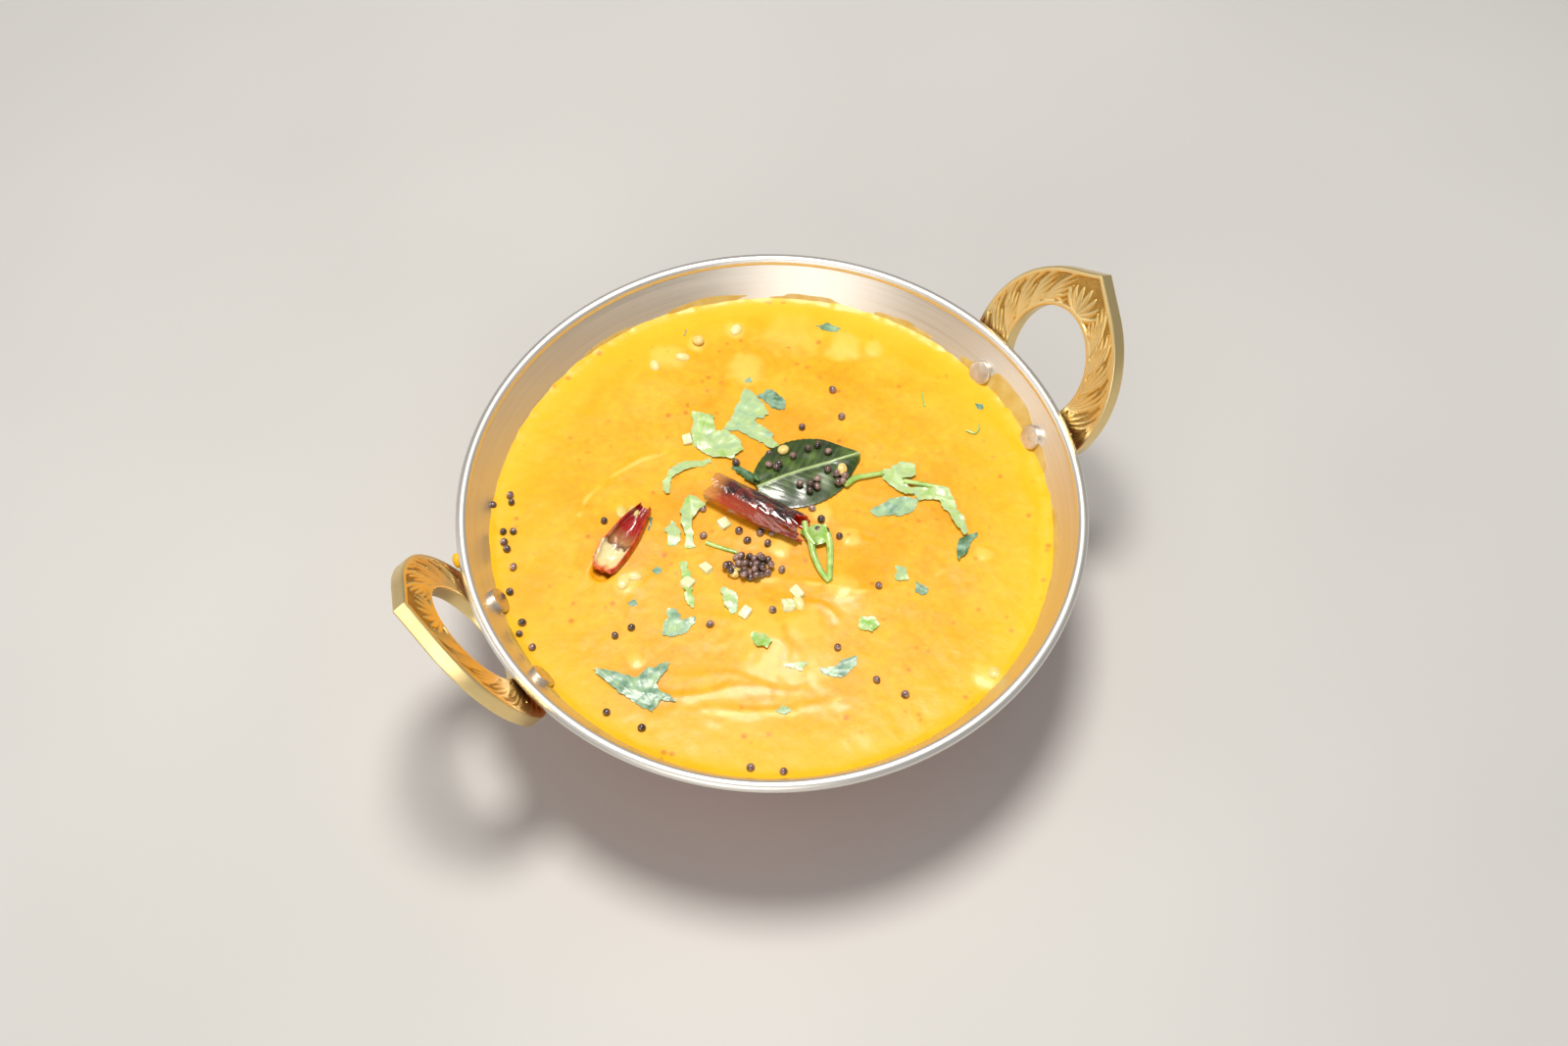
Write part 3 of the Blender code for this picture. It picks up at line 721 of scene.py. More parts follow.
head = [
    (0, RIVET_HEAD_HEIGHT + RIVET_CROWN), (RIVET_HEAD_RADIUS * 0.55, RIVET_HEAD_HEIGHT + 0.75 * RIVET_CROWN)
]
for step in range(6):
    angle = math.pi / 2 * step / 5
    head.append((
        RIVET_HEAD_RADIUS - RIVET_ROUNDING * (1 - math.sin(angle)),
        RIVET_HEAD_HEIGHT - RIVET_ROUNDING * (1 - math.cos(angle)),
    ))
head += [(RIVET_HEAD_RADIUS, 0.0), (RIVET_SHANK, 0.0), (RIVET_SHANK, -RIVET_GRIP)]
for step in range(8):
    angle = math.pi / 2 * step / 8
    head.append((RIVET_TAIL * math.cos(angle), -RIVET_GRIP - RIVET_TAIL_HEIGHT * math.sin(angle)))
head.append((0, -RIVET_GRIP - RIVET_TAIL_HEIGHT))
places = []
for point, normal in rivet_places():
    for flip in (1, -1):
        way = np.array((flip, flip, 1))
        places.append((point * way, -normal * way))
rivets = scatter("rivets", turned("rivet", head, 40), places, rivet_steel)
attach(rivets, "root")
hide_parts("rivet_left_1", "rivet_left_2", "rivet_right_1", "rivet_right_2")

# ---- The dal ----
# A thick glossy puree of yellow lentils, poured and stirred so that its skin keeps the ladle's swirls and low
# mounds. It clings to the steel at its edge, and orange spiced oil gathers round what lies on it.

DAL_LEVEL = 0.0352
DAL_MOUNDS = (  # (x, y, rise, spread), the last one a dip left by the ladle
    (-0.014, -0.026, 0.0011, 0.008), (0.006, -0.024, 0.0008, 0.007), (-0.031, 0.014, 0.0008, 0.009),
    (0.003, 0.004, 0.0007, 0.015), (0.030, 0.022, 0.0005, 0.014), (-0.004, 0.050, 0.0006, 0.010),
    (-0.020, -0.046, -0.0005, 0.012),
)
DAL_CLEARANCE = 0.00012  # off the steel, so that the two faces don't flicker
DAL_FILM = 0.0012  # how far the dal's body starts under its skin at the wall
SWIRL_RISE = 0.00058
LUMP_RISE = 0.00022
SMALL_LUMP_MM = 5.5  # larger ones lie too deep to lift the skin
DAL_SPOKES = 620
DAL_RINGS = 112
EDGE_WIDTH = 0.0008  # of the lip that climbs the steel
CHILLI_ENDS = ((-0.0078, 0.0132), (0.0046, -0.0072))
SPLIT_ENDS = ((-0.0395, 0.0070), (-0.0235, 0.0165))
LEAF_ENDS = ((0.0, 0.0084), (0.026, 0.0048))
SWIRLS = (  # (millimetre points along a fold in the skin, width, rise)
    (((-37, 22), (-33, 26), (-26, 28.5), (-18, 29), (-11, 28)), 1.1, 0.32),
    (((-52, -18), (-44, -25), (-33, -31), (-22, -35)), 0.9, 0.34),
    (((-42, -20), (-32, -27), (-24, -33), (-14, -41)), 0.8, 0.20),
    (((-38, -33), (-30, -38), (-20, -44), (-9, -46)), 1.0, 0.26),
    (((-27, -12), (-19, -19), (-11, -31)), 1.2, 0.22),
    (((-13, -11), (-6, -14), (1, -20), (9, -27), (22, -31), (33, -29)), 1.1, 0.20),
    (((12, 56), (25, 49), (37, 41), (47, 30), (54, 17)), 1.8, 0.42),
    (((15, 47), (27, 40), (38, 31), (46, 19)), 2.2, -0.24),
    (((59, 6), (58, -12), (52, -28), (42, -41), (28, -52)), 1.5, 0.34),
    (((8, -17), (13, -12), (16, -17), (12, -21)), 0.9, 0.30),
    (((-40, -8), (-35, -2), (-27, 1)), 1.1, 0.22),
    (((-6, -21), (-2, -24), (-1, -30)), 0.8, 0.30),
    (((30, 5), (36, 10), (35, 17)), 1.4, 0.16),
)
PALE_LUMPS_AND_SHEEN = (  # (x, y, radius) of whole lentils and butter under the skin, in millimetres; their pale patches are partly painted sheen
    (1, 52, 4.0), (9, 52, 2.2), (-7, -27, 5.0), (-16, -22, 6.5), (-9, -34, 6.0), (21, -57, 3.5),
    (5, -23, 3.4), (19, 51, 2.4), (45, 30, 2.6), (30, 43, 7.0), (39, 34, 4.5), (13, -12, 2.5), (-36, 2, 3.6),
    (37, -31, 2.0), (-43, -16, 2.0), (16, 40, 5.0), (-1.5, -7, 3.0), (11, -4, 3.0),
)
OIL_POOLS = (  # (x, y, radius) of spiced oil, in millimetres
    (-3, 8, 7), (5, -9, 8), (-13, -9, 7), (-31, 11, 9), (13, 24, 9), (-16, 15, 7), (27, -3, 8), (-28, -9, 8),
    (-6, -44, 5), (2, 20, 8), (33, -18, 7), (-8, 1, 6), (-46, -22, 9), (14, -20, 7), (-55, 10, 7),
)


def value_noise(x, y, size, salt):
    """Smooth repeatable noise from -1 to 1 whose lumps are about this size."""
    u, v = x / size, y / size
    i, j = np.floor(u), np.floor(v)
    s, t = smooth(u - i), smooth(v - j)
    near = scramble(i, j, salt) * (1 - s) + scramble(i + 1, j, salt) * s
    far = scramble(i, j + 1, salt) * (1 - s) + scramble(i + 1, j + 1, salt) * s
    return 2 * (near * (1 - t) + far * t) - 1


def dal_height(x, y):
    """The height of the dal's skin."""
    height = DAL_LEVEL + 0 * x
    for mound_x, mound_y, rise, spread in DAL_MOUNDS:
        height = height + rise * np.exp(-((x - mound_x) ** 2 + (y - mound_y) ** 2) / spread**2)
    mm_x, mm_y = x * 1000, y * 1000
    warp_x = mm_x + 1.6 * value_noise(mm_x, mm_y, 9, 11)
    warp_y = mm_y + 1.6 * value_noise(mm_x, mm_y, 9, 12)
    for points, width, rise in SWIRLS:
        gap, side, part = beside(warp_x, warp_y, points)
        fade = np.sin(np.pi * np.clip(part, 0.02, 0.98)) ** 0.6
        spread = 0.75 * width * np.where(side > 0, 1.0, 2.4)
        height = height + rise * SWIRL_RISE * fade * np.exp(-((gap / spread) ** 2))
    for lump_x, lump_y, radius in PALE_LUMPS_AND_SHEEN:
        if radius < SMALL_LUMP_MM:
            gap = np.hypot(mm_x - lump_x, mm_y - lump_y) / radius
            height = height + LUMP_RISE * np.exp(-((gap * 1.3) ** 4))
    # the trough that the split chilli is sunk in
    gap, _, part = beside(mm_x, mm_y, [tuple(1000 * c for c in end) for end in SPLIT_ENDS])
    bed = 2.7 - 1.9 * part**2
    ends = smooth((part + 0.06) * 9) * smooth((1.0 - part) * 9)
    height = height - 0.0025 * smooth((bed - gap) / 1.1) * ends
    height = height + 0.00016 * value_noise(mm_x, mm_y, 13, 1) + 0.00007 * value_noise(warp_x, mm_y, 4.5, 2)
    return height + 0.00004 * value_noise(mm_x, warp_y, 1.9, 3)


def dal_normal(x, y):
    """The unit normal of the dal's skin."""
    step = 0.0004
    slope_x = (dal_height(x + step, y) - dal_height(x - step, y)) / (2 * step)
    slope_y = (dal_height(x, y + step) - dal_height(x, y - step)) / (2 * step)
    normal = np.array((-slope_x, -slope_y, 1.0))
    return normal / np.linalg.norm(normal)


turn = np.arange(DAL_SPOKES) * math.tau / DAL_SPOKES
edge_climb = 0.00035 + 0.0004 * (value_noise(turn * 9.55, 0 * turn, 1.0, 5) + 1) * 0.5
edge_climb += 0.00016 * value_noise(turn * 30.0, 0 * turn, 1.0, 6)
limit = wall_radius(DAL_CLEARANCE, DAL_LEVEL)
rows = [np.array([(0.0, 0.0, float(dal_height(0.0, 0.0)))])]
for number in range(1, DAL_RINGS + 1):
    radius = limit * (number / DAL_RINGS)
    height = dal_height(radius * np.cos(turn), radius * np.sin(turn))
    height = height + edge_climb * np.exp(-(limit - radius) / EDGE_WIDTH)
    if number == DAL_RINGS:  # the last ring follows the sloping wall
        radius = wall_radius(DAL_CLEARANCE, height)
    rows.append(np.stack([radius * np.cos(turn), radius * np.sin(turn), height], 1))
wall_foot = (wall_radius(DAL_CLEARANCE, DAL_LEVEL - DAL_FILM), DAL_LEVEL - DAL_FILM)
for radius, height in bowl_curve(DAL_CLEARANCE, wall_foot, 3, 8, 5)[::-1]:
    rows.append(ring(radius, height, DAL_SPOKES))

# lentil puree: opaque and softly glossy, with a little light let in below its skin
dal_material, tree, shader, place = new_material(
    "lentil_puree", Roughness=0.4, IOR=1.37, Coat_Weight=0.12, Coat_Roughness=0.14
)
fill(tree, shader, {
    "Subsurface Weight": 0.06, "Subsurface Radius": (0.0030, 0.0016, 0.0005), "Subsurface Scale": 1.0,
})
cloud = add(tree, "ShaderNodeTexNoise", {0: place, "Scale": 1000 / 13.3, "Detail": 4.0, "Distortion": 0.6})
grain = add(tree, "ShaderNodeTexNoise", {0: place, "Scale": 1000 / 1.61, "Detail": 3.0})
speck = add(tree, "ShaderNodeTexVoronoi", {"Vector": place, "Scale": 1000 / 3.03})
rare = add(tree, "ShaderNodeTexNoise", {0: place, "Scale": 1000 / 4.76, "Detail": 1.0})
body_tone = add(
    tree, "ShaderNodeValToRGB", {0: cloud}, stops=[(0.3, "#E39C10"), (0.5, "#E8A616"), (0.72, "#ECB124")]
)
tone = add(
    tree, "ShaderNodeMix", {0: 0.35, 6: body_tone, 7: grain.outputs[1]},
    data_type="RGBA", blend_type="SOFT_LIGHT",
)
level = add(tree, "ShaderNodeVectorMath", {0: place, 1: (1, 1, 0)}, operation="MULTIPLY")
spread = add(tree, "ShaderNodeVectorMath", {0: level}, operation="LENGTH").outputs["Value"]
rimward = add(tree, "ShaderNodeMapRange", {0: spread, 1: 0.046, 2: 0.062, 3: 0.0, 4: 0.8})
oil, pale = (add(tree, "ShaderNodeAttribute", attribute_name=name).outputs["Fac"] for name in ("oil", "pale"))
near_speck = add(tree, "ShaderNodeMapRange", {0: speck, 1: 0.14, 2: 0.30, 3: 1.0, 4: 0.0})
some = add(tree, "ShaderNodeMapRange", {0: rare, 1: 0.55, 2: 0.66, 3: 0.0, 4: 0.6})
specks = add(tree, "ShaderNodeMath", {0: near_speck, 1: some}, operation="MULTIPLY")
# pale mixes real lumps and froth with painted highlights where the lamp's sheen lies on the dal
for share, colour in ((rimward, "#EEB60E"), (oil, "#DB9216"), (pale, "#F1CF62"), (specks, "#B8641C")):
    tone = add(tree, "ShaderNodeMix", {0: share, 6: tone.outputs[2], 7: linear(colour)}, data_type="RGBA")
roughness = add(tree, "ShaderNodeMapRange", {0: cloud, 1: 0.3, 2: 0.7, 3: 0.34, 4: 0.48})
bump = add(tree, "ShaderNodeBump", {"Height": grain, "Strength": 0.16, "Distance": 0.0004})
fill(tree, shader, {"Base Color": tone.outputs[2], "Roughness": roughness, "Normal": bump})

dal = skin("dal_surface", rows, dal_material, crease=75)
points = np.concatenate(rows)
mm_x, mm_y = points[:, 0] * 1000, points[:, 1] * 1000
oil_share, pale_and_sheen_share = np.zeros(len(points)), np.zeros(len(points))
for pool_x, pool_y, radius in OIL_POOLS:
    gap = np.hypot(mm_x - pool_x, mm_y - pool_y) / radius + 0.25 * value_noise(mm_x, mm_y, 2.6, 21)
    oil_share = np.maximum(oil_share, smooth(1.25 - gap) * 0.4)
# pale patches over the lumps: partly real lentils and butter, partly painted sheen
for lump_x, lump_y, radius in PALE_LUMPS_AND_SHEEN:
    gap = np.hypot(mm_x - lump_x, mm_y - lump_y) / radius + 0.3 * value_noise(mm_x, mm_y, 2.0, 22)
    pale_and_sheen_share = np.maximum(pale_and_sheen_share, smooth((1.2 - gap) * 1.4) * (0.5 if radius < SMALL_LUMP_MM else 0.3))
for line_points, _, _ in (SWIRLS[0], SWIRLS[3], SWIRLS[5]):  # froth caught along three of the folds, its pale lines partly painted glints
    gap, _, part = beside(mm_x + 1.2 * value_noise(mm_x, mm_y, 6, 23), mm_y, line_points)
    broken = smooth(value_noise(mm_x, mm_y, 3.1, 24) * 1.5 + 0.5) * (part > 0.02) * (part < 0.98)
    pale_and_sheen_share = np.maximum(pale_and_sheen_share, 0.6 * broken * smooth((0.75 - gap) / 0.5))
paint(dal, oil=oil_share, pale=pale_and_sheen_share)
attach(dal, "root")
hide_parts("dal")

# ---- The whole dried chilli ----
# One half of a dried red chilli, fried in the tempering until its skin blistered and darkened. It is a hollow
# tube with a ragged pale cut end and a torn end that shows bright red inside, and it lies sunk in the dal.

CHILLI_RADIUS = 0.0038
CHILLI_BOW = 0.0006
CHILLI_SINK = 0.0017
CHILLI_WALL = 0.00045
CHILLI_STEPS = 96
CHILLI_SIDES = 88
CHILLI_FOLDS = (  # long creases in the skin: (rise, angle, how far it turns, width, share where it begins)
    (-0.11, 2.2, 0.5, 0.32, 0.35), (0.07, 2.75, 0.4, 0.22, 0.3), (-0.07, 1.15, -0.3, 0.22, 0.15),
)


def axis_of(ends):
    """(start, direction, sideways direction, length) of what lies between these two points."""
    start, end = (np.array(point) for point in ends)
    length = np.linalg.norm(end - start)
    line = (end - start) / length
    return start, line, np.array((-line[1], line[0])), float(length)


first, chilli_line, beside_line, chilli_length = axis_of(CHILLI_ENDS)


def chilli_ring(share, inset):
    """One ring of the tube, inset from its skin. Its ends are ragged, so the stations there shift round
    it."""
    turn = np.arange(CHILLI_SIDES) * math.tau / CHILLI_SIDES
    c, s = np.cos(turn), np.sin(turn)
    ragged = 0.0008 * value_noise(c * 2.6 + 9, s * 2.6, 1.0, 31) + 0.0004 * value_noise(c * 8, s * 8, 1.0, 32)
    tear = 0.0032 * np.clip(s * 0.9 + c * 0.35, 0, 1)
    start_pull = ragged * (1 - share) ** 8
    end_pull = (ragged * 1.3 - tear) * share**6
    along = share * chilli_length + start_pull + end_pull
    outline = 0.90 + 0.10 * math.sin(math.pi * min(1.0, share * 1.25)) - 0.10 * share**3
    flare = 0.05 * (1 - share) ** 10
    wrinkle = 0.06 * value_noise(c * 3.2 + 2.5 * share, s * 3.2 - share, 1.0, 33)
    wrinkle += 0.03 * value_noise(c * 4.2 + 11 * share, s * 4.2 + 9 * share, 0.8, 34) * (0.4 + 0.9 * share)
    fold = 0.0
    for depth, centre, drift, width, begins in CHILLI_FOLDS:
        fold = fold + depth * np.exp(-(((turn - centre - drift * share) / width) ** 2)) * smooth(
            (share - begins) * 3
        )
    radius = CHILLI_RADIUS * (outline + flare + wrinkle + fold) - inset
    bow = CHILLI_BOW * math.sin(math.pi * share)
    middle = first + chilli_line * along[:, None] + beside_line * (radius * c - bow)[:, None]
    lie = DAL_LEVEL + 0.0007 - CHILLI_SINK + CHILLI_RADIUS * 0.93
    return np.column_stack([middle, lie + radius * s * 0.90])


outside = [chilli_ring(step / CHILLI_STEPS, 0) for step in range(CHILLI_STEPS + 1)]
inside_end = [chilli_ring(share, CHILLI_WALL) for share in np.linspace(1.0, 0.62, 14)]
inside_start = [chilli_ring(share, CHILLI_WALL) for share in np.linspace(0.30, 0.0, 10)]
core = [inside_end[-1].mean(0)[None, :], inside_start[0].mean(0)[None, :]]
chilli_rows = [core[1]] + inside_start + outside + inside_end + [core[0]]
hollow = [1.0] * (1 + len(inside_start)) + [0.0] * len(outside) + [1.0] * (len(inside_end) + 1)
inside_share = np.repeat(hollow, [len(row) for row in chilli_rows])
offset = np.concatenate(chilli_rows)[:, :2] - first
along_share = np.clip(offset @ chilli_line / chilli_length, 0, 1)
# painted light: the lower left side, fading towards the torn end, is coloured orange red as if lit
lit_side_share = np.clip(
    smooth((-(offset @ beside_line / CHILLI_RADIUS) - 0.25) * 1.6) * (1 - 0.75 * along_share), 0, 1
)

# fried dried chilli: a taut glassy skin, near black where it caught the oil and deep red beside that, with
# painted light that turns its lower left side orange red
chilli_skin, tree, shader, place = new_material(
    "fried_dried_chilli", Roughness=0.28, Coat_Weight=1.0, Coat_Roughness=0.05
)
blister = add(tree, "ShaderNodeTexNoise", {0: place, "Scale": 1000 / 1.316, "Detail": 3.0, "Roughness": 0.5})
patch = add(tree, "ShaderNodeTexNoise", {0: place, "Scale": 1000 / 3.03, "Detail": 3.0})
within, along, warmth = (
    add(tree, "ShaderNodeAttribute", attribute_name=name).outputs["Fac"] for name in (
        "inside", "along", "warmth"
    )
)
skin_tone = add(
    tree, "ShaderNodeValToRGB", {0: patch}, stops=[(0.36, "#160403"), (0.50, "#430B05"), (0.66, "#7A1E09")]
)
lit_side_tone = add(tree, "ShaderNodeMix", {0: warmth, 6: skin_tone, 7: linear("#B23A0A")}, data_type="RGBA")
dusty = add(tree, "ShaderNodeMapRange", {0: along, 1: 0.02, 2: 0.17, 3: 0.95, 4: 0.0})
cut_tone = add(
    tree, "ShaderNodeMix", {0: dusty, 6: lit_side_tone.outputs[2], 7: linear("#CE8A3C")}, data_type="RGBA"
)
inner_tone = add(tree, "ShaderNodeValToRGB", {0: along}, stops=[(0.2, "#DDA050"), (0.7, "#E02A08")])
whole_tone = add(tree, "ShaderNodeMix", {0: within, 6: cut_tone.outputs[2], 7: inner_tone}, data_type="RGBA")
roughness = add(tree, "ShaderNodeMapRange", {0: blister, 1: 0.35, 2: 0.65, 3: 0.14, 4: 0.34})
bump = add(tree, "ShaderNodeBump", {"Height": blister, "Strength": 0.55, "Distance": 0.0005})
fill(tree, shader, {"Base Color": whole_tone.outputs[2], "Roughness": roughness, "Normal": bump})

chilli = skin("dried_chilli_whole", chilli_rows, chilli_skin, crease=70)
paint(chilli, inside=inside_share, along=along_share, warmth=lit_side_share)
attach(chilli, "root")
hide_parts("chilli_whole")

# ---- The split dried chilli ----
# The other half, split open along its length and lying on its back: red glossy skin, then a seeded tan patch
# and cream coloured flesh towards its wide end. Its edges curl in.

SPLIT_RADIUS = 0.0036
SPLIT_SINK = 0.0022
SPLIT_STEPS = 70
SPLIT_SIDES = 40

first, split_line, split_side, split_length = axis_of(SPLIT_ENDS)


def split_ring(share):
    """One closed ring of the trough: under its skin from edge to edge, then back over its flesh."""
    half = math.pi * (0.56 + 0.16 * share)
    turn = np.linspace(-half, half, SPLIT_SIDES)
    width = SPLIT_RADIUS * (0.86 + 0.22 * math.sin(math.pi * share * 0.9) - 0.52 * share**2.2) * (
        0.55 + 0.45 * math.sin(math.pi * min(0.5, share * 3 + 0.12))
    )
    crinkle = 0.09 * value_noise(turn * 1.6, np.full(SPLIT_SIDES, share * 7), 1.0, 41)
    outer = width * (1 + crinkle)
    pulp = 0.6 + 0.4 * value_noise(turn * 2, np.full(SPLIT_SIDES, share * 12), 1.0, 42)
    flesh = 0.0011 * (1 - share**3) + 0.0004 + 0.0012 * (1 - share) * pulp
    inner = outer - flesh * np.cos(turn / half * 1.35) - 0.0001
    along = share * split_length + 0.0006 * value_noise(turn * 2.2, turn * 0, 1.0, 43) * (1 - share) ** 3
    level = DAL_LEVEL + 0.0007 - SPLIT_SINK + SPLIT_RADIUS * 0.86
    points = []
    for radius, order in ((outer, slice(None)), (inner, slice(None, None, -1))):
        across, rise = radius * np.sin(turn), -radius * np.cos(turn) * 0.84
        centre = first + split_line * along[:, None] + split_side * across[:, None]
        points.append(np.column_stack([centre, level + rise])[order])
    return np.concatenate(points)


split_rows = [split_ring(step / SPLIT_STEPS) for step in range(SPLIT_STEPS + 1)]
count = len(split_rows[0])
points = np.concatenate(split_rows)
faces = []
for row in range(SPLIT_STEPS):
    for i in range(count):
        j = (i + 1) % count
        faces.append((row * count + i, row * count + j, (row + 1) * count + j, (row + 1) * count + i))
for row, order in ((0, 1), (SPLIT_STEPS, -1)):
    for i in range(count // 2 - 1):
        faces.append(tuple(row * count + k for k in (i, i + 1, count - 2 - i, count - 1 - i))[::order])

# split chilli: wet red skin, cream pith that turns tan where the seeds sat
split_material, tree, shader, place = new_material(
    "split_dried_chilli", Roughness=0.25, Coat_Weight=0.7, Coat_Roughness=0.08
)
patch = add(tree, "ShaderNodeTexNoise", {0: place, "Scale": 1000 / 1.25, "Detail": 4.0})
within, along = (
    add(tree, "ShaderNodeAttribute", attribute_name=name).outputs["Fac"] for name in ("inside", "along")
)
uneven = add(tree, "ShaderNodeMath", {0: patch, 1: 0.14}, operation="MULTIPLY")
zone = add(tree, "ShaderNodeMath", {0: along, 1: uneven}, operation="ADD")
flesh_tone = add(
    tree, "ShaderNodeValToRGB", {0: zone},
    stops=[
        (0.08, "#D8642A"), (0.17, "#E8CF92"), (0.40, "#EAD8A4"), (0.45, "#6A3E22"), (0.52, "#B07A48"),
        (0.64, "#A0502C"), (0.72, "#A81A10"), (0.97, "#8E120C"),
    ],
)
skin_tone = add(tree, "ShaderNodeValToRGB", {0: patch}, stops=[(0.35, "#8E120C"), (0.65, "#D8380E")])
whole_tone = add(tree, "ShaderNodeMix", {0: within, 6: skin_tone, 7: flesh_tone}, data_type="RGBA")
bump = add(tree, "ShaderNodeBump", {"Height": patch, "Strength": 0.6, "Distance": 0.0004})
fill(tree, shader, {"Base Color": whole_tone.outputs[2], "Normal": bump})

split = mesh_piece("dried_chilli_split", points, faces, split_material, crease=60)
skin_then_flesh = np.repeat([0.0, 1.0], SPLIT_SIDES)
paint(
    split, inside=np.tile(skin_then_flesh, SPLIT_STEPS + 1), along=np.repeat(
        np.linspace(0, 1, SPLIT_STEPS + 1), count
    )
)
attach(split, "root")
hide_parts("chilli_split")

# ---- The curry leaf ----
# One fresh curry leaf, dropped in the hot oil: dark green and glossy, with a pale midrib and fine side veins.
# Its stalk end is tucked under the chilli, and both halves droop from the midrib.

LEAF_HALF_WIDTH = 0.0088
LEAF_THICKNESS = 0.0004
LEAF_DROOP = 0.0006
VEIN_SPACING_MM = 2.1
LEAF_STEPS = 110
LEAF_SIDES = 70

base, leaf_line, leaf_side, leaf_length = axis_of(LEAF_ENDS)


def leaf_half_width(part):
    """Half the blade's width at this part of its length: full and rounded, drawn out to a short point."""
    part = np.clip(part, 0.001, 0.999)
    full = LEAF_HALF_WIDTH * np.sin(np.pi * part**0.85) ** 0.62
    return full * (1 - 0.34 * smooth((part - 0.72) * 3.6))


def curry_leaf_point(part, side):
    """(x, y, z, vein share) on the leaf's top, part along it and side from -1 to 1 across."""
    half = leaf_half_width(part)
    toothed = 1 + 0.02 * np.abs(np.sin(part * 60)) * (np.abs(side) > 0.98)
    across = side * half * toothed
    bend = 0.0006 * np.sin(np.pi * part)
    x = base[0] + leaf_line[0] * part * leaf_length + leaf_side[0] * (across + bend)
    y = base[1] + leaf_line[1] * part * leaf_length + leaf_side[1] * (across + bend)
    rib = np.exp(-((across / 0.00032) ** 2))
    slant = part * leaf_length * 1000 - np.abs(across) * 1000 * 1.05
    off_vein = ((slant / VEIN_SPACING_MM + 0.5 * np.sign(side)) % 1 - 0.5) / 0.11
    veins = np.exp(-off_vein**2) * (1 - np.abs(side) ** 3) * 0.6
    near = np.clip(-side, 0, 1)
    lift = 0.0017 - 0.0012 * near**1.6 - LEAF_DROOP * np.clip(side, 0, 1) ** 2
    lift = lift + 0.0005 * smooth((part - 0.7) * 3) * (1 - near) + 0.00013 * value_noise(
        part * 9, side * 4, 1.0, 51
    )
    level = dal_height(x, y) + lift + 0.00016 * rib - 0.00005 * veins
    return x, y, level, np.maximum(rib * 0.9, veins * 0.16)


parts = 0.03 + 0.965 * np.linspace(0, 1, LEAF_STEPS + 1)
sides = np.linspace(-1, 1, LEAF_SIDES + 1)
grid_part, grid_side = np.meshgrid(parts, sides, indexing="ij")
x, y, z, vein = curry_leaf_point(grid_part, grid_side)
thin = LEAF_THICKNESS * (0.25 + 0.75 * np.clip((1 - np.abs(grid_side)) * 12, 0, 1))
top = np.stack([x, y, z], -1).reshape(-1, 3)
bottom = np.stack([x, y, z - thin], -1).reshape(-1, 3)


def sheet_faces(rows, columns):
    """Faces of a closed sheet of two grids, the second under the first, with its edges walled."""
    half = rows * columns
    i, j = np.meshgrid(np.arange(rows - 1), np.arange(columns - 1), indexing="ij")
    corner = (i * columns + j).ravel()
    top_faces = np.stack([corner, corner + columns, corner + columns + 1, corner + 1], 1)
    edge = list(range(columns)) + [r * columns + columns - 1 for r in range(1, rows)]
    edge += list(range(rows * columns - 2, (rows - 1) * columns - 1, -1))
    edge += [r * columns for r in range(rows - 2, 0, -1)]
    walls = [(a, b, b + half, a + half) for a, b in zip(edge, edge[1:] + edge[:1])]
    return top_faces.tolist() + (top_faces[:, ::-1] + half).tolist() + walls


# curry leaf: dark waxy green that mirrors the lamp in broad patches, with a paler midrib
leaf_material, tree, shader, place = new_material(
    "curry_leaf", Roughness=0.34, Coat_Weight=0.35, Coat_Roughness=0.12
)
patch = add(tree, "ShaderNodeTexNoise", {0: place, "Scale": 1000 / 3.85, "Detail": 4.0})
fine = add(tree, "ShaderNodeTexVoronoi", {"Vector": place, "Scale": 1000 / 0.625}, feature="DISTANCE_TO_EDGE")
veined = add(tree, "ShaderNodeAttribute", attribute_name="vein")
blade = add(
    tree, "ShaderNodeValToRGB", {0: patch},
    stops=[(0.3, "#1E3008"), (0.55, "#32480E"), (0.75, "#567022")],
)
whole_tone = add(
    tree, "ShaderNodeMix", {0: veined.outputs["Fac"], 6: blade, 7: linear("#B5CB86")}, data_type="RGBA"
)
bump = add(tree, "ShaderNodeBump", {"Height": fine.outputs["Distance"], "Strength": 0.12, "Distance": 0.0002})
fill(tree, shader, {"Base Color": whole_tone.outputs[2], "Normal": bump})
faces = sheet_faces(LEAF_STEPS + 1, LEAF_SIDES + 1)
leaf = mesh_piece("curry_leaf_blade", np.concatenate([top, bottom]), faces, leaf_material)
paint(leaf, vein=np.tile(vein.ravel(), 2))
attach(leaf, "root")
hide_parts("curry_leaf")
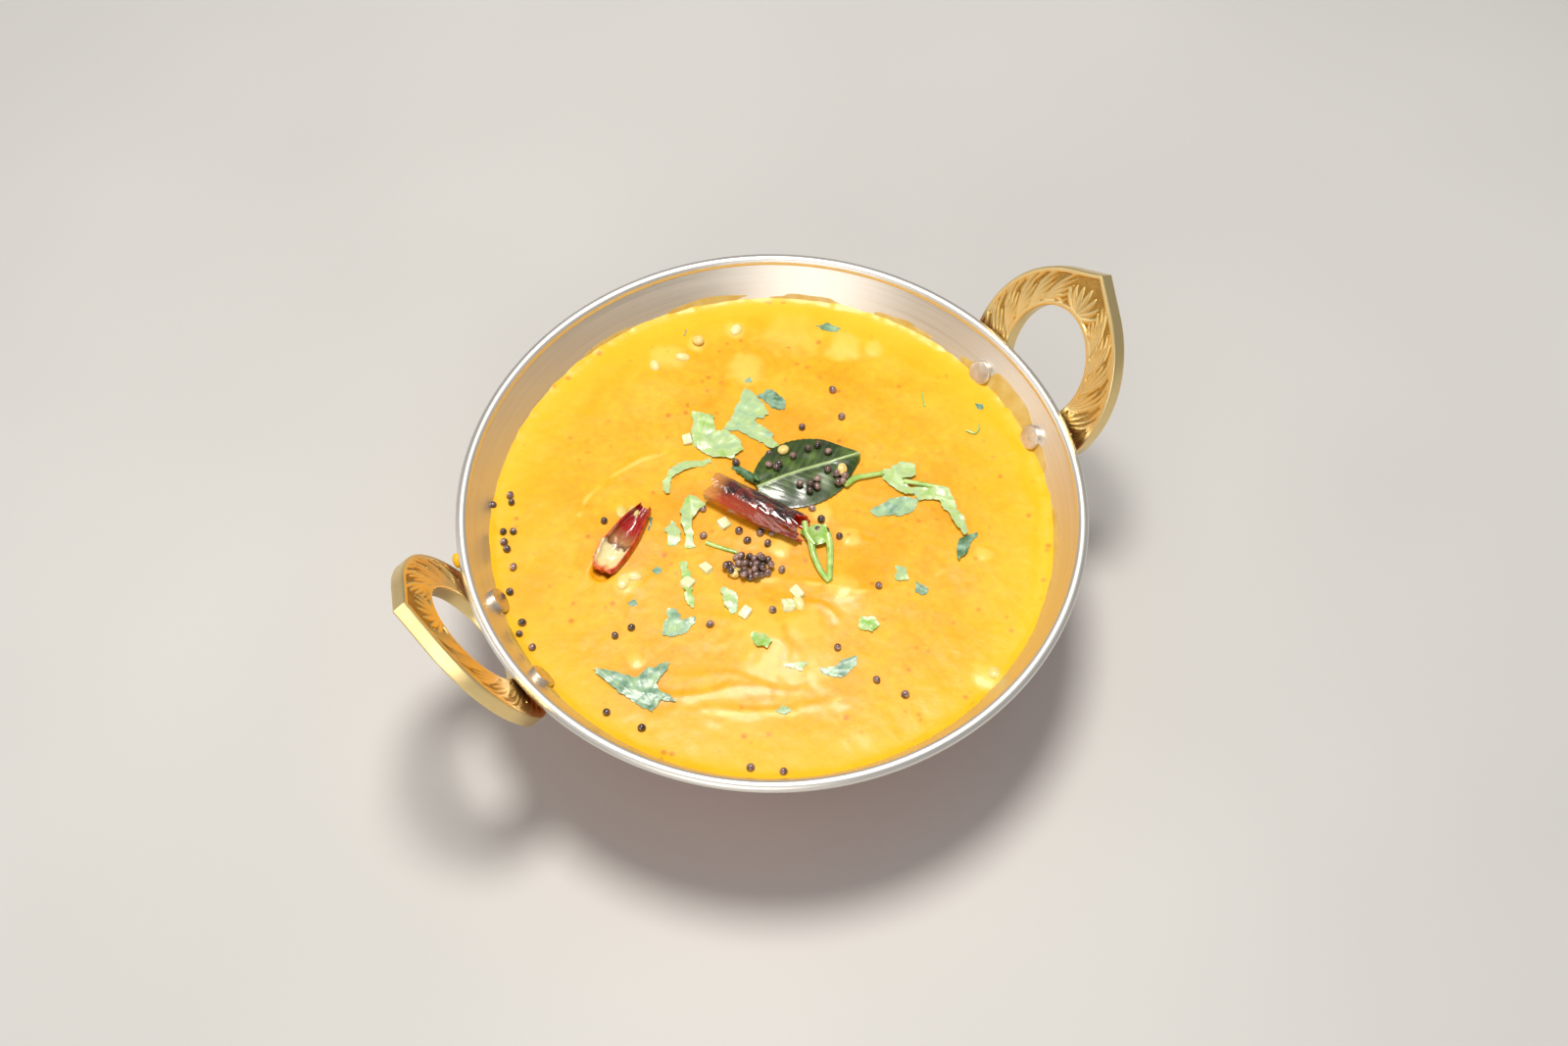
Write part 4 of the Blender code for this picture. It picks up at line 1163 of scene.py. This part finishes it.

# ---- Chopped coriander ----
# Torn coriander leaves and split stems, scattered by hand. Each is a limp thin blade with fine fanned veins,
# paler partly where it has dried and partly from painted sheen, bluish where it is thick, and the wet ones
# have sunk flat on the dal.

CORIANDER = (  # (millimetre outline, vein root, tone from 0 light to 1 bluish, lift); light tones are partly painted sheen
    (((-6, 26), (-3.6, 31), (-1.6, 35.2), (0, 33.5), (2, 31.4), (0.8, 27.6), (-2.6, 25.4)),
     (-5, 26), 0.25, 0.7),
    (((-5.6, 26.4), (-1, 27.8), (2.6, 26), (4.2, 22), (3.6, 19.4), (0, 18.8), (-3.4, 21), (-5, 23.4)),
     (-5, 22), 0.35, 0.9),
    (((-18, 17.6), (-17, 21), (-13.4, 23.8), (-9, 23.4), (-4, 21.6), (-4.4, 20), (-9.6, 21.2),
      (-13.4, 21.6), (-15.4, 20.6), (-16.6, 17.8)),
     (-4, 21), 0.3, 0.6),
    (((2.2, 27.4), (6.4, 29.8), (10, 33), (12.4, 35.4), (13.6, 31), (14.2, 25.4), (9.8, 25.8), (10.8, 23),
      (12.2, 20.2), (8.4, 18.8), (6.6, 22.6), (3.8, 26)),
     (4, 27), 0.5, 0.35),
    (((13.8, 31.6), (17.4, 32.2), (19, 28.2), (17.6, 24.6), (15.4, 27)),
     (14, 31), 1.0, 0.1),
    (((13, 36.6), (15.2, 37.2), (14.6, 35.2)),
     (13, 36), 0.7, 0.2),
    (((8, 20.4), (11, 19.2), (11.6, 15.8), (9, 16.6)),
     (8, 20), 0.3, 1.1),
    (((-23.6, 5.4), (-21.6, 10.2), (-20, 11.2), (-19, 8.6), (-20.6, 5.2)),
     (-22, 5), 0.4, 0.5),
    (((-20.6, 2.8), (-19, 6.4), (-16.6, 12.8), (-14.6, 14.6), (-12.6, 13.8), (-10.8, 10.4), (-13.4, 10),
      (-15.6, 8.6), (-17, 6), (-18.8, 2.2)),
     (-19.6, 2.4), 0.3, 1.2),
    (((-23, 0.6), (-21.8, 0.2), (-23.2, -4.4), (-24.6, -7.6), (-26, -11), (-27.2, -10), (-25.2, -4)),
     (-22.4, 0.4), 0.1, 0.5),
    (((-35.6, -13.6), (-33.4, -11), (-31, -8.4), (-29.6, -9.8), (-30, -12.6), (-27, -13.2), (-28.2, -15),
      (-32, -15.8)),
     (-30, -9), 0.75, 0.2),
    (((-52.6, -13.2), (-49, -15.8), (-45.4, -20), (-42, -19.4), (-37, -20), (-38.8, -22.4), (-42.4, -23.2),
      (-41.4, -26), (-39.8, -29.4), (-43.8, -27.4), (-46, -29), (-48.6, -24.4), (-51, -18)),
     (-46, -27), 0.9, 0.5),
    (((-20.2, -16.4), (-19.2, -11), (-18, -9.4), (-16.4, -12.4), (-18, -17.2)),
     (-19, -17), 0.4, 0.6),
    (((3.6, -6.6), (6.6, -5.8), (9.2, -7.4), (8.8, -11.2), (4.8, -11.6)),
     (6, -6), 0.05, 1.6),
    (((28, -0.4), (31, -1.6), (33.4, -0.6), (35.6, -3), (34.6, -6), (31.2, -5.2), (32, -9.8), (29, -8.6),
      (27.6, -3.6)),
     (28, -1), 0.3, 0.9),
    (((20.4, -9), (25, -8), (29, -9), (31.6, -12), (28, -13.6), (24, -12), (21.4, -11)),
     (30, -10), 0.75, 0.3),
    (((31, -8), (35, -9), (39, -13), (37.6, -19), (37, -24), (35, -25.2), (35.6, -18), (35, -13.4),
      (31.6, -12)),
     (31, -9), 0.3, 1.0),
    (((30.4, -30), (33, -26), (35, -24.8), (39, -25.4), (36, -27), (33, -29)),
     (36, -25), 1.1, 0.8),
    (((16, -26.6), (18, -23.6), (19.6, -25), (18.6, -28.6)),
     (18, -24), 0.5, 0.3),
    (((18, -31.4), (19.6, -29.4), (21, -32.4), (19.6, -33.6)),
     (19, -30), 0.9, 0.3),
    (((2.4, -33), (4.2, -31), (6.8, -32.6), (7, -35.2), (4.4, -35.6)),
     (3, -32), 0.0, 0.7),
    (((-19.4, -24), (-17.6, -23.2), (-15.8, -24.8), (-15.6, -27.4), (-17.6, -28.4), (-19, -26.6)),
     (-18, -24), 0.15, 0.7),
    (((-10.2, -37.8), (-6, -38.4), (-1.2, -38.2), (-2, -40.4), (-6, -41.8), (-8.6, -40.4)),
     (-10, -38), 0.9, 0.15),
    (((-16.2, -33), (-13, -33.8), (-11, -35), (-14, -36.4)),
     (-16, -33), 0.45, 0.1),
    (((-22.8, -41.2), (-20.6, -41), (-20, -43), (-22, -43.4)),
     (-22, -41), 0.6, 0.15),
    (((36.6, 43), (39, 42), (41.4, 39.2), (39.6, 38.6), (37.4, 40.4)),
     (37, 43), 1.0, -0.05),
    (((7.2, 55.8), (8.8, 57.2), (9.2, 56.8), (7.6, 55.4)),
     (7, 56), 1.2, 0.1),
    (((-26.2, 11), (-25.4, 11), (-23.2, 13.4), (-23.8, 13.8)),
     (-26, 11), 1.3, 0.3),
    (((-1.6, 16.8), (0.4, 17), (2.6, 12), (2.2, 8.6), (0.6, 10.4)),
     (0, 17), 1.3, 1.0),
    (((57, 4.6), (58.6, 4), (58.2, 2.6), (56.8, 3)),
     (57, 4), 0.9, 0.0),
    (((-38, -2.4), (-36.4, -3.2), (-36.8, -4.6), (-38.2, -4)),
     (-38, -3), 0.9, 0.0),
    (((-29.6, 1.8), (-28.2, 2.2), (-27.8, 0.8), (-29.2, 0.4)),
     (-29, 1), 0.8, 0.0),
)
BLADE_SPACING = 0.34  # millimetres between the points that fill a leaf
BLADE_THICKNESS = 0.00022
TEAR_REACH = 0.42  # millimetres that the torn edge wanders from the outline


def resting_height(x, y):
    """The height of what lies at a point: the curry leaf if it is there, or the dal."""
    level = dal_height(x, y)
    offset = np.stack([x - base[0], y - base[1]], -1)
    part = offset @ leaf_line / leaf_length
    half = leaf_half_width(part)
    side = offset @ leaf_side / half
    on_leaf = (part > 0.03) & (part < 0.99) & (np.abs(side) < 1)
    leaf_level = curry_leaf_point(np.clip(part, 0.03, 0.99), np.clip(side, -1, 1))[2]
    return np.where(on_leaf, leaf_level, level)


def toothed_outline(outline, seed):
    """The outline with its corners eased and a torn edge added, as points about BLADE_SPACING apart."""
    corners = np.array(outline, float)
    for _ in range(2):
        after = np.roll(corners, -1, 0)
        corners = np.stack([corners * 0.88 + after * 0.12, corners * 0.12 + after * 0.88], 1).reshape(-1, 2)
    points = []
    for a, b in zip(corners, np.roll(corners, -1, 0)):
        steps = max(1, int(np.hypot(*(b - a)) / BLADE_SPACING))
        points += [a + (b - a) * step / steps for step in range(steps)]
    points = np.array(points)
    x, y = points.T
    shift_x = (value_noise(x, y, 1.3, seed) + 0.5 * value_noise(x, y, 0.6, seed)) * TEAR_REACH
    shift_y = (value_noise(y, x, 1.3, seed + 1) + 0.5 * value_noise(y, x, 0.6, seed)) * TEAR_REACH
    return points + np.stack([shift_x, shift_y], 1)


def inside_outline(points, outline):
    """Which points lie inside the outline: those whose ray to the right crosses it an odd number of times."""
    (ax, ay), (bx, by) = outline.T[:, None, :], np.roll(outline, -1, 0).T[:, None, :]
    x, y = points[:, :1], points[:, 1:]
    crossings = ((ay > y) != (by > y)) & (x < (bx - ax) * (y - ay) / (by - ay + 1e-12) + ax)
    return crossings.sum(1) % 2 == 1


def blade(outline, root, seed, lift):
    """(points, faces, vein shares) of one thin closed leaf, curled up by lift millimetres away from where
    it lies."""
    edge = toothed_outline(outline, seed)

    def edge_distance(points):
        """How far each of these points is from the nearest point of the edge."""
        return np.linalg.norm(points[:, None] - edge[None], axis=-1).min(1)

    low, high = edge.min(0), edge.max(0)
    xs = np.arange(low[0], high[0], BLADE_SPACING)
    ys = np.arange(low[1], high[1], BLADE_SPACING * 0.87)
    grid = np.array(
        [(x + (0.5 * BLADE_SPACING if row % 2 else 0), y) for row, y in enumerate(ys) for x in xs]
    )
    clear = edge_distance(grid) > 0.5 * BLADE_SPACING
    flat = np.concatenate([edge, grid[inside_outline(grid, edge) & clear]])
    loop = [list(range(len(edge)))]
    vertices, _, triangles, _, _, _ = delaunay_2d_cdt([Vector(p) for p in flat], [], loop, 1, 1e-6)
    flat = np.array([tuple(p) for p in vertices])
    x, y = flat[:, 0] * 0.001, flat[:, 1] * 0.001
    gap = edge_distance(flat)
    spread = flat - np.array(root)
    reach = np.hypot(spread[:, 0], spread[:, 1])
    angle = np.arctan2(spread[:, 1], spread[:, 0])
    furrow = np.abs(((angle * 3.3 + 0.08 * value_noise(flat[:, 0], flat[:, 1], 1.5, seed)) % 1) - 0.5) * 2
    vein = np.clip(1 - furrow / 0.22, 0, 1) * np.clip(reach / 1.2, 0, 1)
    curl = lift * (
        0.35 + 0.45 * value_noise(flat[:, 0], flat[:, 1], 3.4, seed + 2) + 0.12 * np.minimum(reach, 6) / 2
    )
    ripple = 0.10 * value_noise(flat[:, 0], flat[:, 1], 1.3, seed + 3) * min(1, abs(lift) * 2)
    curl = curl * np.clip(0.35 + reach / 5, 0, 1) + ripple
    level = resting_height(x, y) + 0.00010 + np.clip(curl, -0.1, 3) * 0.001 + 0.00007 * vein
    thin = BLADE_THICKNESS * (0.3 + 0.7 * np.clip(gap / 0.35, 0, 1))
    top = np.column_stack([x, y, level])
    under = np.column_stack([x, y, level - thin])
    total = len(flat)
    faces = [tuple(face) for face in triangles]
    # a dictionary, not a set, so that the walls come out in the same order each run
    seen = {pair: True for face in faces for pair in zip(face, face[1:] + face[:1])}
    walls = [(j, i, i + total, j + total) for i, j in seen if (j, i) not in seen]
    faces = faces + [tuple(k + total for k in face[::-1]) for face in faces] + walls
    return np.concatenate([top, under]), faces, np.tile(vein, 2)


points, faces, veins, tones = [], [], [], []
total = 0
for number, (outline_mm, root, leaf_tone_and_sheen, lift) in enumerate(CORIANDER):
    some_points, some_faces, some_veins = blade(outline_mm, root, 100 + 7 * number, lift)
    points.append(some_points)
    faces += [tuple(k + total for k in face) for face in some_faces]
    veins.append(some_veins)
    tones.append(np.full(len(some_points), leaf_tone_and_sheen))
    total += len(some_points)

# fresh coriander: thin and a little see-through, grey green to blue green, with pale veins; paler leaves
# partly painted sheen
herb, tree, shader, place = new_material(
    "fresh_coriander", Roughness=0.38, Coat_Weight=0.25, Coat_Roughness=0.2
)
fill(tree, shader, {
    "Subsurface Weight": 0.1, "Subsurface Radius": (0.0006, 0.0012, 0.0003), "Subsurface Scale": 1.0,
})
patch = add(tree, "ShaderNodeTexNoise", {0: place, "Scale": 1000 / 2.38, "Detail": 4.0})
# each leaf's tone; its pale end is partly painted sheen
veined, leaf_tone_and_sheen = (
    add(tree, "ShaderNodeAttribute", attribute_name=name).outputs["Fac"] for name in ("vein", "tone")
)
uneven = add(tree, "ShaderNodeMapRange", {0: patch, 1: 0.3, 2: 0.7, 3: -0.26, 4: 0.32})
mixed = add(tree, "ShaderNodeMath", {0: leaf_tone_and_sheen, 1: uneven}, operation="ADD")
scaled = add(tree, "ShaderNodeMath", {0: mixed, 1: 1.3}, operation="DIVIDE")
blade_tone = add(
    tree, "ShaderNodeValToRGB", {0: scaled},
    stops=[(0.0, "#8AB846"), (0.25, "#B2C987"), (0.55, "#98B98C"), (0.78, "#6F967C"), (1.0, "#35602E")],
)
faint = add(tree, "ShaderNodeMath", {0: veined, 1: 0.3}, operation="MULTIPLY")
whole_tone = add(tree, "ShaderNodeMix", {0: faint, 6: blade_tone, 7: linear("#CFE0AE")}, data_type="RGBA")
bump = add(tree, "ShaderNodeBump", {"Height": patch, "Strength": 0.3, "Distance": 0.0003})
fill(tree, shader, {"Base Color": whole_tone.outputs[2], "Normal": bump})
coriander = mesh_piece("coriander_leaves", np.concatenate(points), faces, herb, crease=60)
paint(coriander, vein=np.concatenate(veins), tone=np.concatenate(tones))
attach(coriander, "root")

# ---- Coriander stems ----
# Thin juicy stems, round where they are whole and flat where they are split, lying between the leaves.

STEMS = (  # (millimetre points, radius at each end in millimetres, height above what they lie on at each end)
    (((19, -0.4), (22, 0.2), (25, -0.6), (28.4, -1.6)), (0.75, 0.55), (0.7, 0.6)),
    (((4.4, -9.6), (3.2, -13), (2.6, -17), (2.8, -20.4)), (0.75, 0.6), (1.5, 0.4)),
    (((8.6, -10), (7.2, -13.4), (5, -17), (3.2, -20)), (0.8, 0.6), (1.5, 0.4)),
    (((5.4, -5), (4.4, -8), (4.6, -11)), (0.7, 0.75), (1.9, 1.5)),
    (((-15.8, 2.2), (-13.8, -0.4), (-11, -3.6)), (0.5, 0.4), (0.3, 0.3)),
    (((31, -6), (34, -8.4), (37.4, -11.4)), (0.6, 0.4), (0.9, 0.8)),
    (((46.6, 9.6), (47.2, 11.4), (48.2, 13.2)), (0.22, 0.16), (0.2, 0.3)),
    (((51.4, -1), (52.6, -2.6), (54.2, -2), (54.8, -1)), (0.28, 0.2), (0.3, 0.3)),
)
STEM_STEPS = 12
STEM_SIDES = 14


def stem_point(path, part):
    """A point on the smooth curve through the path's points, part of them along it."""
    index = min(int(part), len(path) - 2)
    share = part - index
    before, a, b, after = path[max(index - 1, 0)], path[index], path[index + 1], path[
        min(index + 2, len(path) - 1)
    ]
    return 0.5 * (
        2 * a + (b - before) * share + (2 * before - 5 * a + 4 * b - after) * share**2
        + (3 * a - before - 3 * b + after) * share**3
    )


def stem_rings(path, thick, lift):
    """The rings of one stem, with a pole at each end, lying on what is under it."""
    path = np.array(path, float) * 0.001
    centres = []
    for step in range(STEM_STEPS + 1):
        point = stem_point(path, step / STEM_STEPS * (len(path) - 1))
        along = step / STEM_STEPS
        rise = (lift[0] * (1 - along) + lift[1] * along) * 0.001
        centres.append((*point, float(resting_height(point[0], point[1])) + rise))
    centres = np.array(centres)
    turns = np.arange(STEM_SIDES) * math.tau / STEM_SIDES
    rings = []
    for index, centre in enumerate(centres):
        ahead = centres[min(index + 1, STEM_STEPS)] - centres[max(index - 1, 0)]
        ahead /= np.linalg.norm(ahead)
        side = np.cross((0, 0, 1), ahead)
        side /= np.linalg.norm(side)
        along = index / STEM_STEPS
        radius = (thick[0] * (1 - along) + thick[1] * along) * 0.001
        across = np.cos(turns)[:, None] * side * 1.05
        rings.append(centre + radius * (across + np.sin(turns)[:, None] * np.cross(ahead, side) * 0.8))
    return [centres[:1]] + rings + [centres[-1:]]


# fresh stem: wet, smooth and faintly streaked
stem_material = mottled(
    "coriander_stem", 2.0, 3.0, [(0.3, "#7FAE3E"), (0.7, "#B9D27A")],
    Roughness=0.3, Coat_Weight=0.4, Coat_Roughness=0.12,
)
joined = bmesh.new()
for stem in STEMS:
    part = skin("stem", stem_rings(*stem), stem_material)
    joined.from_mesh(part.data)
    bpy.data.objects.remove(part)
mesh = bpy.data.meshes.new("coriander_stems")
joined.to_mesh(mesh)
joined.free()
mesh.materials.append(stem_material)
stems = bpy.data.objects.new("coriander_stems", mesh)
bpy.context.scene.collection.objects.link(stems)
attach(stems, "root")

# ---- Mustard seeds ----
# Round black-brown mustard seeds about 2 mm across, popped in the hot oil. They gather in one heap beside the
# chilli, lie on the curry leaf, and have drifted to the wall near the left handle.

SEED_RADIUS = 0.00090
SEEDS_LOOSE = (
    (-3, -1), (-2, -3.2), (-0.2, -3.6), (-4, -5), (-7.6, -2), (-8, 1), (-15.5, 4), (0.3, 17.3), (9.2, -2),
    (7.6, -7.4), (9, -8.4), (11, -11.2), (9.6, -5.4), (-4.2, -1.8), (-1.4, -1.6), (-44.3, -8.8),
    (-40.3, -8.8), (-25, -16.5), (-11.6, -20.5), (-4.6, -12.3), (-54.3, -24.3), (-49.5, -31.2), (-33.2, 18),
    (11.8, -26.6), (-3.8, -35.2), (-0.5, -46), (3, -52), (-34, -50.5), (-28.5, -54.7), (30, 24),
    (18.5, 18.5), (28, 16.5), (-12.2, 10.2),
)
SEEDS_BY_WALL = (
    (-48.5, 35), (-49, 33.2), (-53, 34.5), (-54, 27), (-52, 26), (-55, 24.5), (-55.2, 22.6), (-56, 17.7),
    (-59.4, 12.3), (-60.4, 4), (-62.2, 1.7), (-61.2, -2.6),
)
SEEDS_ON_LEAF = (
    (6, 12), (8, 15.4), (8, 11), (12, 11.5), (7, 10.4), (18.5, 11.5), (19.6, 8.6), (9.4, 4), (11.5, 3),
    (13.6, 3.4), (17.5, 0.6), (18.6, 0.4), (19.8, 1.4), (17, 4.4), (16, 11.6), (10.6, 1.6), (18.2, 2.6),
    (12.6, 1.8),
)
HEAP_CENTRE = (-10.6, -8.2)
HEAP_COUNT = 34
HEAP_LENGTH = 11.0
HEAP_WIDTH = 7.0
SEED_GAP = 1.18  # the least between two seeds of the heap, and the rest lie on top of a crowd
CROWD_REACH = 1.95


def resting(x, y, sink=0.0):
    """(point, facing) of something lying at (x, y) millimetres, its origin sunk by this much."""
    x, y = x * 0.001, y * 0.001
    normal = dal_normal(x, y)
    level = float(resting_height(np.array(x), np.array(y)))
    return np.array((x, y, level)) - normal * sink, normal


places = [resting(x, y, -SEED_RADIUS * 0.45) for x, y in SEEDS_LOOSE + SEEDS_BY_WALL]
places += [resting(x, y, -SEED_RADIUS * 0.85) for x, y in SEEDS_ON_LEAF]
packed = []
for number in range(HEAP_COUNT * 14):
    along, across = float(scramble(number, 1, 61)) - 0.5, float(scramble(number, 2, 61)) - 0.5
    x = HEAP_CENTRE[0] + along * HEAP_LENGTH * 0.86 + across * HEAP_WIDTH * 0.35
    y = HEAP_CENTRE[1] - along * HEAP_LENGTH * 0.42 + across * HEAP_WIDTH * 0.80
    gaps = [math.hypot(x - a, y - b) for a, b, _ in packed]
    if len(packed) == HEAP_COUNT or math.hypot(along, across) > 0.5 or min(gaps, default=SEED_GAP) < SEED_GAP:
        continue
    crowd = sum(gap < CROWD_REACH and level < 1 for gap, (_, _, level) in zip(gaps, packed))
    packed.append((x, y, 1 if crowd >= 2 else 0))
places += [resting(x, y, -SEED_RADIUS * (0.55 + 1.25 * level)) for x, y, level in packed]

# mustard seed: a hard dark coat with fine pits, glazed by the oil
seed_material, tree, shader, place = new_material(
    "mustard_seed", Roughness=0.3, Coat_Weight=1.0, Coat_Roughness=0.08
)
mix_place = add(tree, "ShaderNodeTexNoise", {0: place, "Scale": 1000 / 2.63, "Detail": 1.0})
pits = add(tree, "ShaderNodeTexNoise", {0: place, "Scale": 1000 / 0.238, "Detail": 2.0})
tone = add(
    tree, "ShaderNodeValToRGB", {0: mix_place},
    stops=[(0.36, "#33241F"), (0.5, "#664842"), (0.64, "#9A7A70")],
)
bump = add(tree, "ShaderNodeBump", {"Height": pits, "Strength": 0.4, "Distance": 0.0001})
fill(tree, shader, {"Base Color": tone, "Normal": bump})


def oval(half_width, half_height, steps, taper=0.0):
    """(radius, height) points down a turned oval, which taper makes fuller below."""
    points = [(0, half_height)]
    for step in range(1, steps):
        turn = math.pi * step / steps
        points.append(
            (half_width * math.sin(turn) * (1 - taper * math.cos(turn)), half_height * math.cos(turn))
        )
    return points + [(0, -half_height)]


seeds = scatter(
    "mustard_seeds", turned("seed", oval(SEED_RADIUS, SEED_RADIUS, 9), 14, crease=80), places, seed_material,
    turning=(3, 3, 3), smallest=(0.86, 0.86, 0.82), largest=(1.1, 1.1, 1.05), seed=4,
)
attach(seeds, "root")

# ---- Urad dal, vegetable bits and stem cubes ----
# A few split black gram lentils, skinned and fried cream yellow, soft pale bits of cooked vegetable half sunk
# in the dal, and short pale green lengths of chopped stem.

URAD = ((11, 14.2), (20, 3), (-14, -8), (9.4, 52.2))
CUBES = ((-10, 4.5), (-4.5, -19), (-6.2, 28.6), (-17, -18), (-8, -21), (-19, -3.6), (-24.4, -5))
lentil = [
    (0, 0.0010), (0.0008, 0.00092), (0.00125, 0.0006), (0.00145, 0.0001), (0.00125, -0.0004),
    (0.0007, -0.0007)
]
lentil += [(0, -0.0008)]
# fried lentil: dry, cream yellow and lightly browned
urad_material = mottled(
    "fried_urad_dal", 1.11, 3.0, [(0.3, "#D9B458"), (0.7, "#EBD58A")], Roughness=0.35, Coat_Weight=0.4,
    Coat_Roughness=0.15,
)
places = [resting(x, y, -0.0004) for x, y in URAD]
urad = scatter(
    "urad_dal", turned("lentil", lentil, 22, crease=80), places, urad_material,
    turning=(0.3, 0.3, 3), smallest=(1.0, 0.8, 0.9), largest=(1.15, 0.95, 1.05), seed=8,
)
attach(urad, "root")

SOFT_BITS = (
    (-28.6, 18.4), (-26.2, 17.2), (-36.4, 2.4), (-33.8, 2.4), (-5.6, -21.6), (22.4, -57), (4, 50), (-3, 51),
    (19, 51),
)
# cooked vegetable: translucent cream, limp and wet
soft_material = mottled(
    "cooked_vegetable", 3.85, 4.0, [(0.3, "#CDBB58"), (0.5, "#E4D07C"), (0.7, "#EBDDA4")], bump=(0.5, 0.0005),
    Roughness=0.35, Coat_Weight=0.3, Coat_Roughness=0.15,
)
places = [resting(x, y, 0.0001) for x, y in SOFT_BITS]
soft_bits = scatter(
    "vegetable_bits", turned("bit", oval(0.0017, 0.0008, 9), 22, crease=80), places, soft_material,
    turning=(0.3, 0.3, 3), smallest=(0.8, 0.6, 0.7), largest=(1.5, 1.0, 1.2), seed=3,
)
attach(soft_bits, "root")

CUBE_SIZE = 0.0026
CUBE_ROUND = 0.0004
block = bmesh.new()
bmesh.ops.create_cube(block, size=CUBE_SIZE)
bmesh.ops.bevel(block, geom=block.edges[:], offset=CUBE_ROUND, segments=3, profile=0.5, affect="EDGES")
mesh = bpy.data.meshes.new("stem_cube")
block.to_mesh(mesh)
block.free()
mesh.shade_smooth()
cube_shape = bpy.data.objects.new("stem_cube", mesh)
# chopped stem: pale wet fibres
cube_material = mottled(
    "chopped_stem", 0.909, 3.0, [(0.32, "#D2DC9A"), (0.68, "#F0F2CE")], bump=(0.4, 0.0002),
    Roughness=0.35, Coat_Weight=0.3, Coat_Roughness=0.15,
)
places = [resting(x, y, -0.0002) for x, y in CUBES]
cubes = scatter(
    "chopped_stems", cube_shape, places, cube_material,
    turning=(0.35, 0.35, 1.6), smallest=(0.95, 0.75, 0.55), largest=(1.25, 1.05, 0.75), seed=5,
)
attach(cubes, "root")

# ---- Smears on the steel ----
# Thin films of dal left where it slopped up the wall between the rivets, and one drop that ran over the rim
# beside the left handle.

SMEARS = (  # (middle angle in degrees, half angle, height, half height in millimetres)
    (0.5, 8.8, 36.6, 2.4), (-13.5, 4.2, 36.0, 1.6), (12.5, 3.0, 35.8, 1.2), (181.0, 4.6, 36.0, 1.5),
    (170.0, 3.4, 35.9, 1.2), (192.5, 2.8, 36.2, 1.7), (-33.0, 6.5, 35.8, 0.9), (52.0, 8.0, 35.8, 0.9),
    (75.0, 9.0, 35.9, 1.0), (98.0, 7.0, 35.8, 0.9), (30.0, 7.0, 35.8, 1.0),
)
SMEAR_STEPS = 34
smear_points, smear_faces, total = [], [], 0
for number, (angle, half_angle, height, half_height) in enumerate(SMEARS):
    v, u = np.meshgrid(np.linspace(-1, 1, SMEAR_STEPS), np.linspace(-1, 1, SMEAR_STEPS), indexing="ij")
    reach = np.maximum(np.abs(u), np.abs(v))
    length = np.hypot(u, v) + 1e-9
    wobble = 1 + 0.22 * value_noise(u / length * 2.2 + number * 5, v / length * 2.2, 1.0, 71)
    along, rise = u / length * reach * wobble, v / length * reach * wobble
    turn = np.radians(angle + half_angle * along)
    level = (height + half_height * rise) * 0.001
    film = 0.00005 + 0.00010 * (1 - reach**2) * (0.7 + 0.3 * value_noise(u, v, 0.3, 72 + number))
    for offset in (film, film * 0 + 0.00001):
        radius = wall_radius(-offset, level)
        smear_points.append(
            np.stack([radius * np.cos(turn), radius * np.sin(turn), level], -1).reshape(-1, 3)
        )
    smear_faces += [tuple(k + total for k in face) for face in sheet_faces(SMEAR_STEPS, SMEAR_STEPS)]
    total += 2 * SMEAR_STEPS**2
# drying dal: so thin that the steel shows through
film_material = mottled(
    "drying_dal_film", 3.33, 4.0, [(0.3, "#E2B640"), (0.7, "#EDD27C")], Roughness=0.35, Alpha=0.5,
)
smears = mesh_piece("wall_smears", np.concatenate(smear_points), smear_faces, film_material)
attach(smears, "root")

DROP_ANGLE = math.radians(163.0)
middle = (bead_centre[0] + BEAD_RADIUS + 0.00025, bead_centre[1] - 0.0004)
place = np.array((middle[0] * math.cos(DROP_ANGLE), middle[0] * math.sin(DROP_ANGLE), middle[1]))
along_rim = np.array((-math.sin(DROP_ANGLE), math.cos(DROP_ANGLE), -0.35))
drop = turned("drop", oval(0.0010, 0.0017, 12, taper=0.2), 24, crease=80)
drip = scatter("rim_drop", drop, [(place, along_rim)], dal_material)
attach(drip, "root")
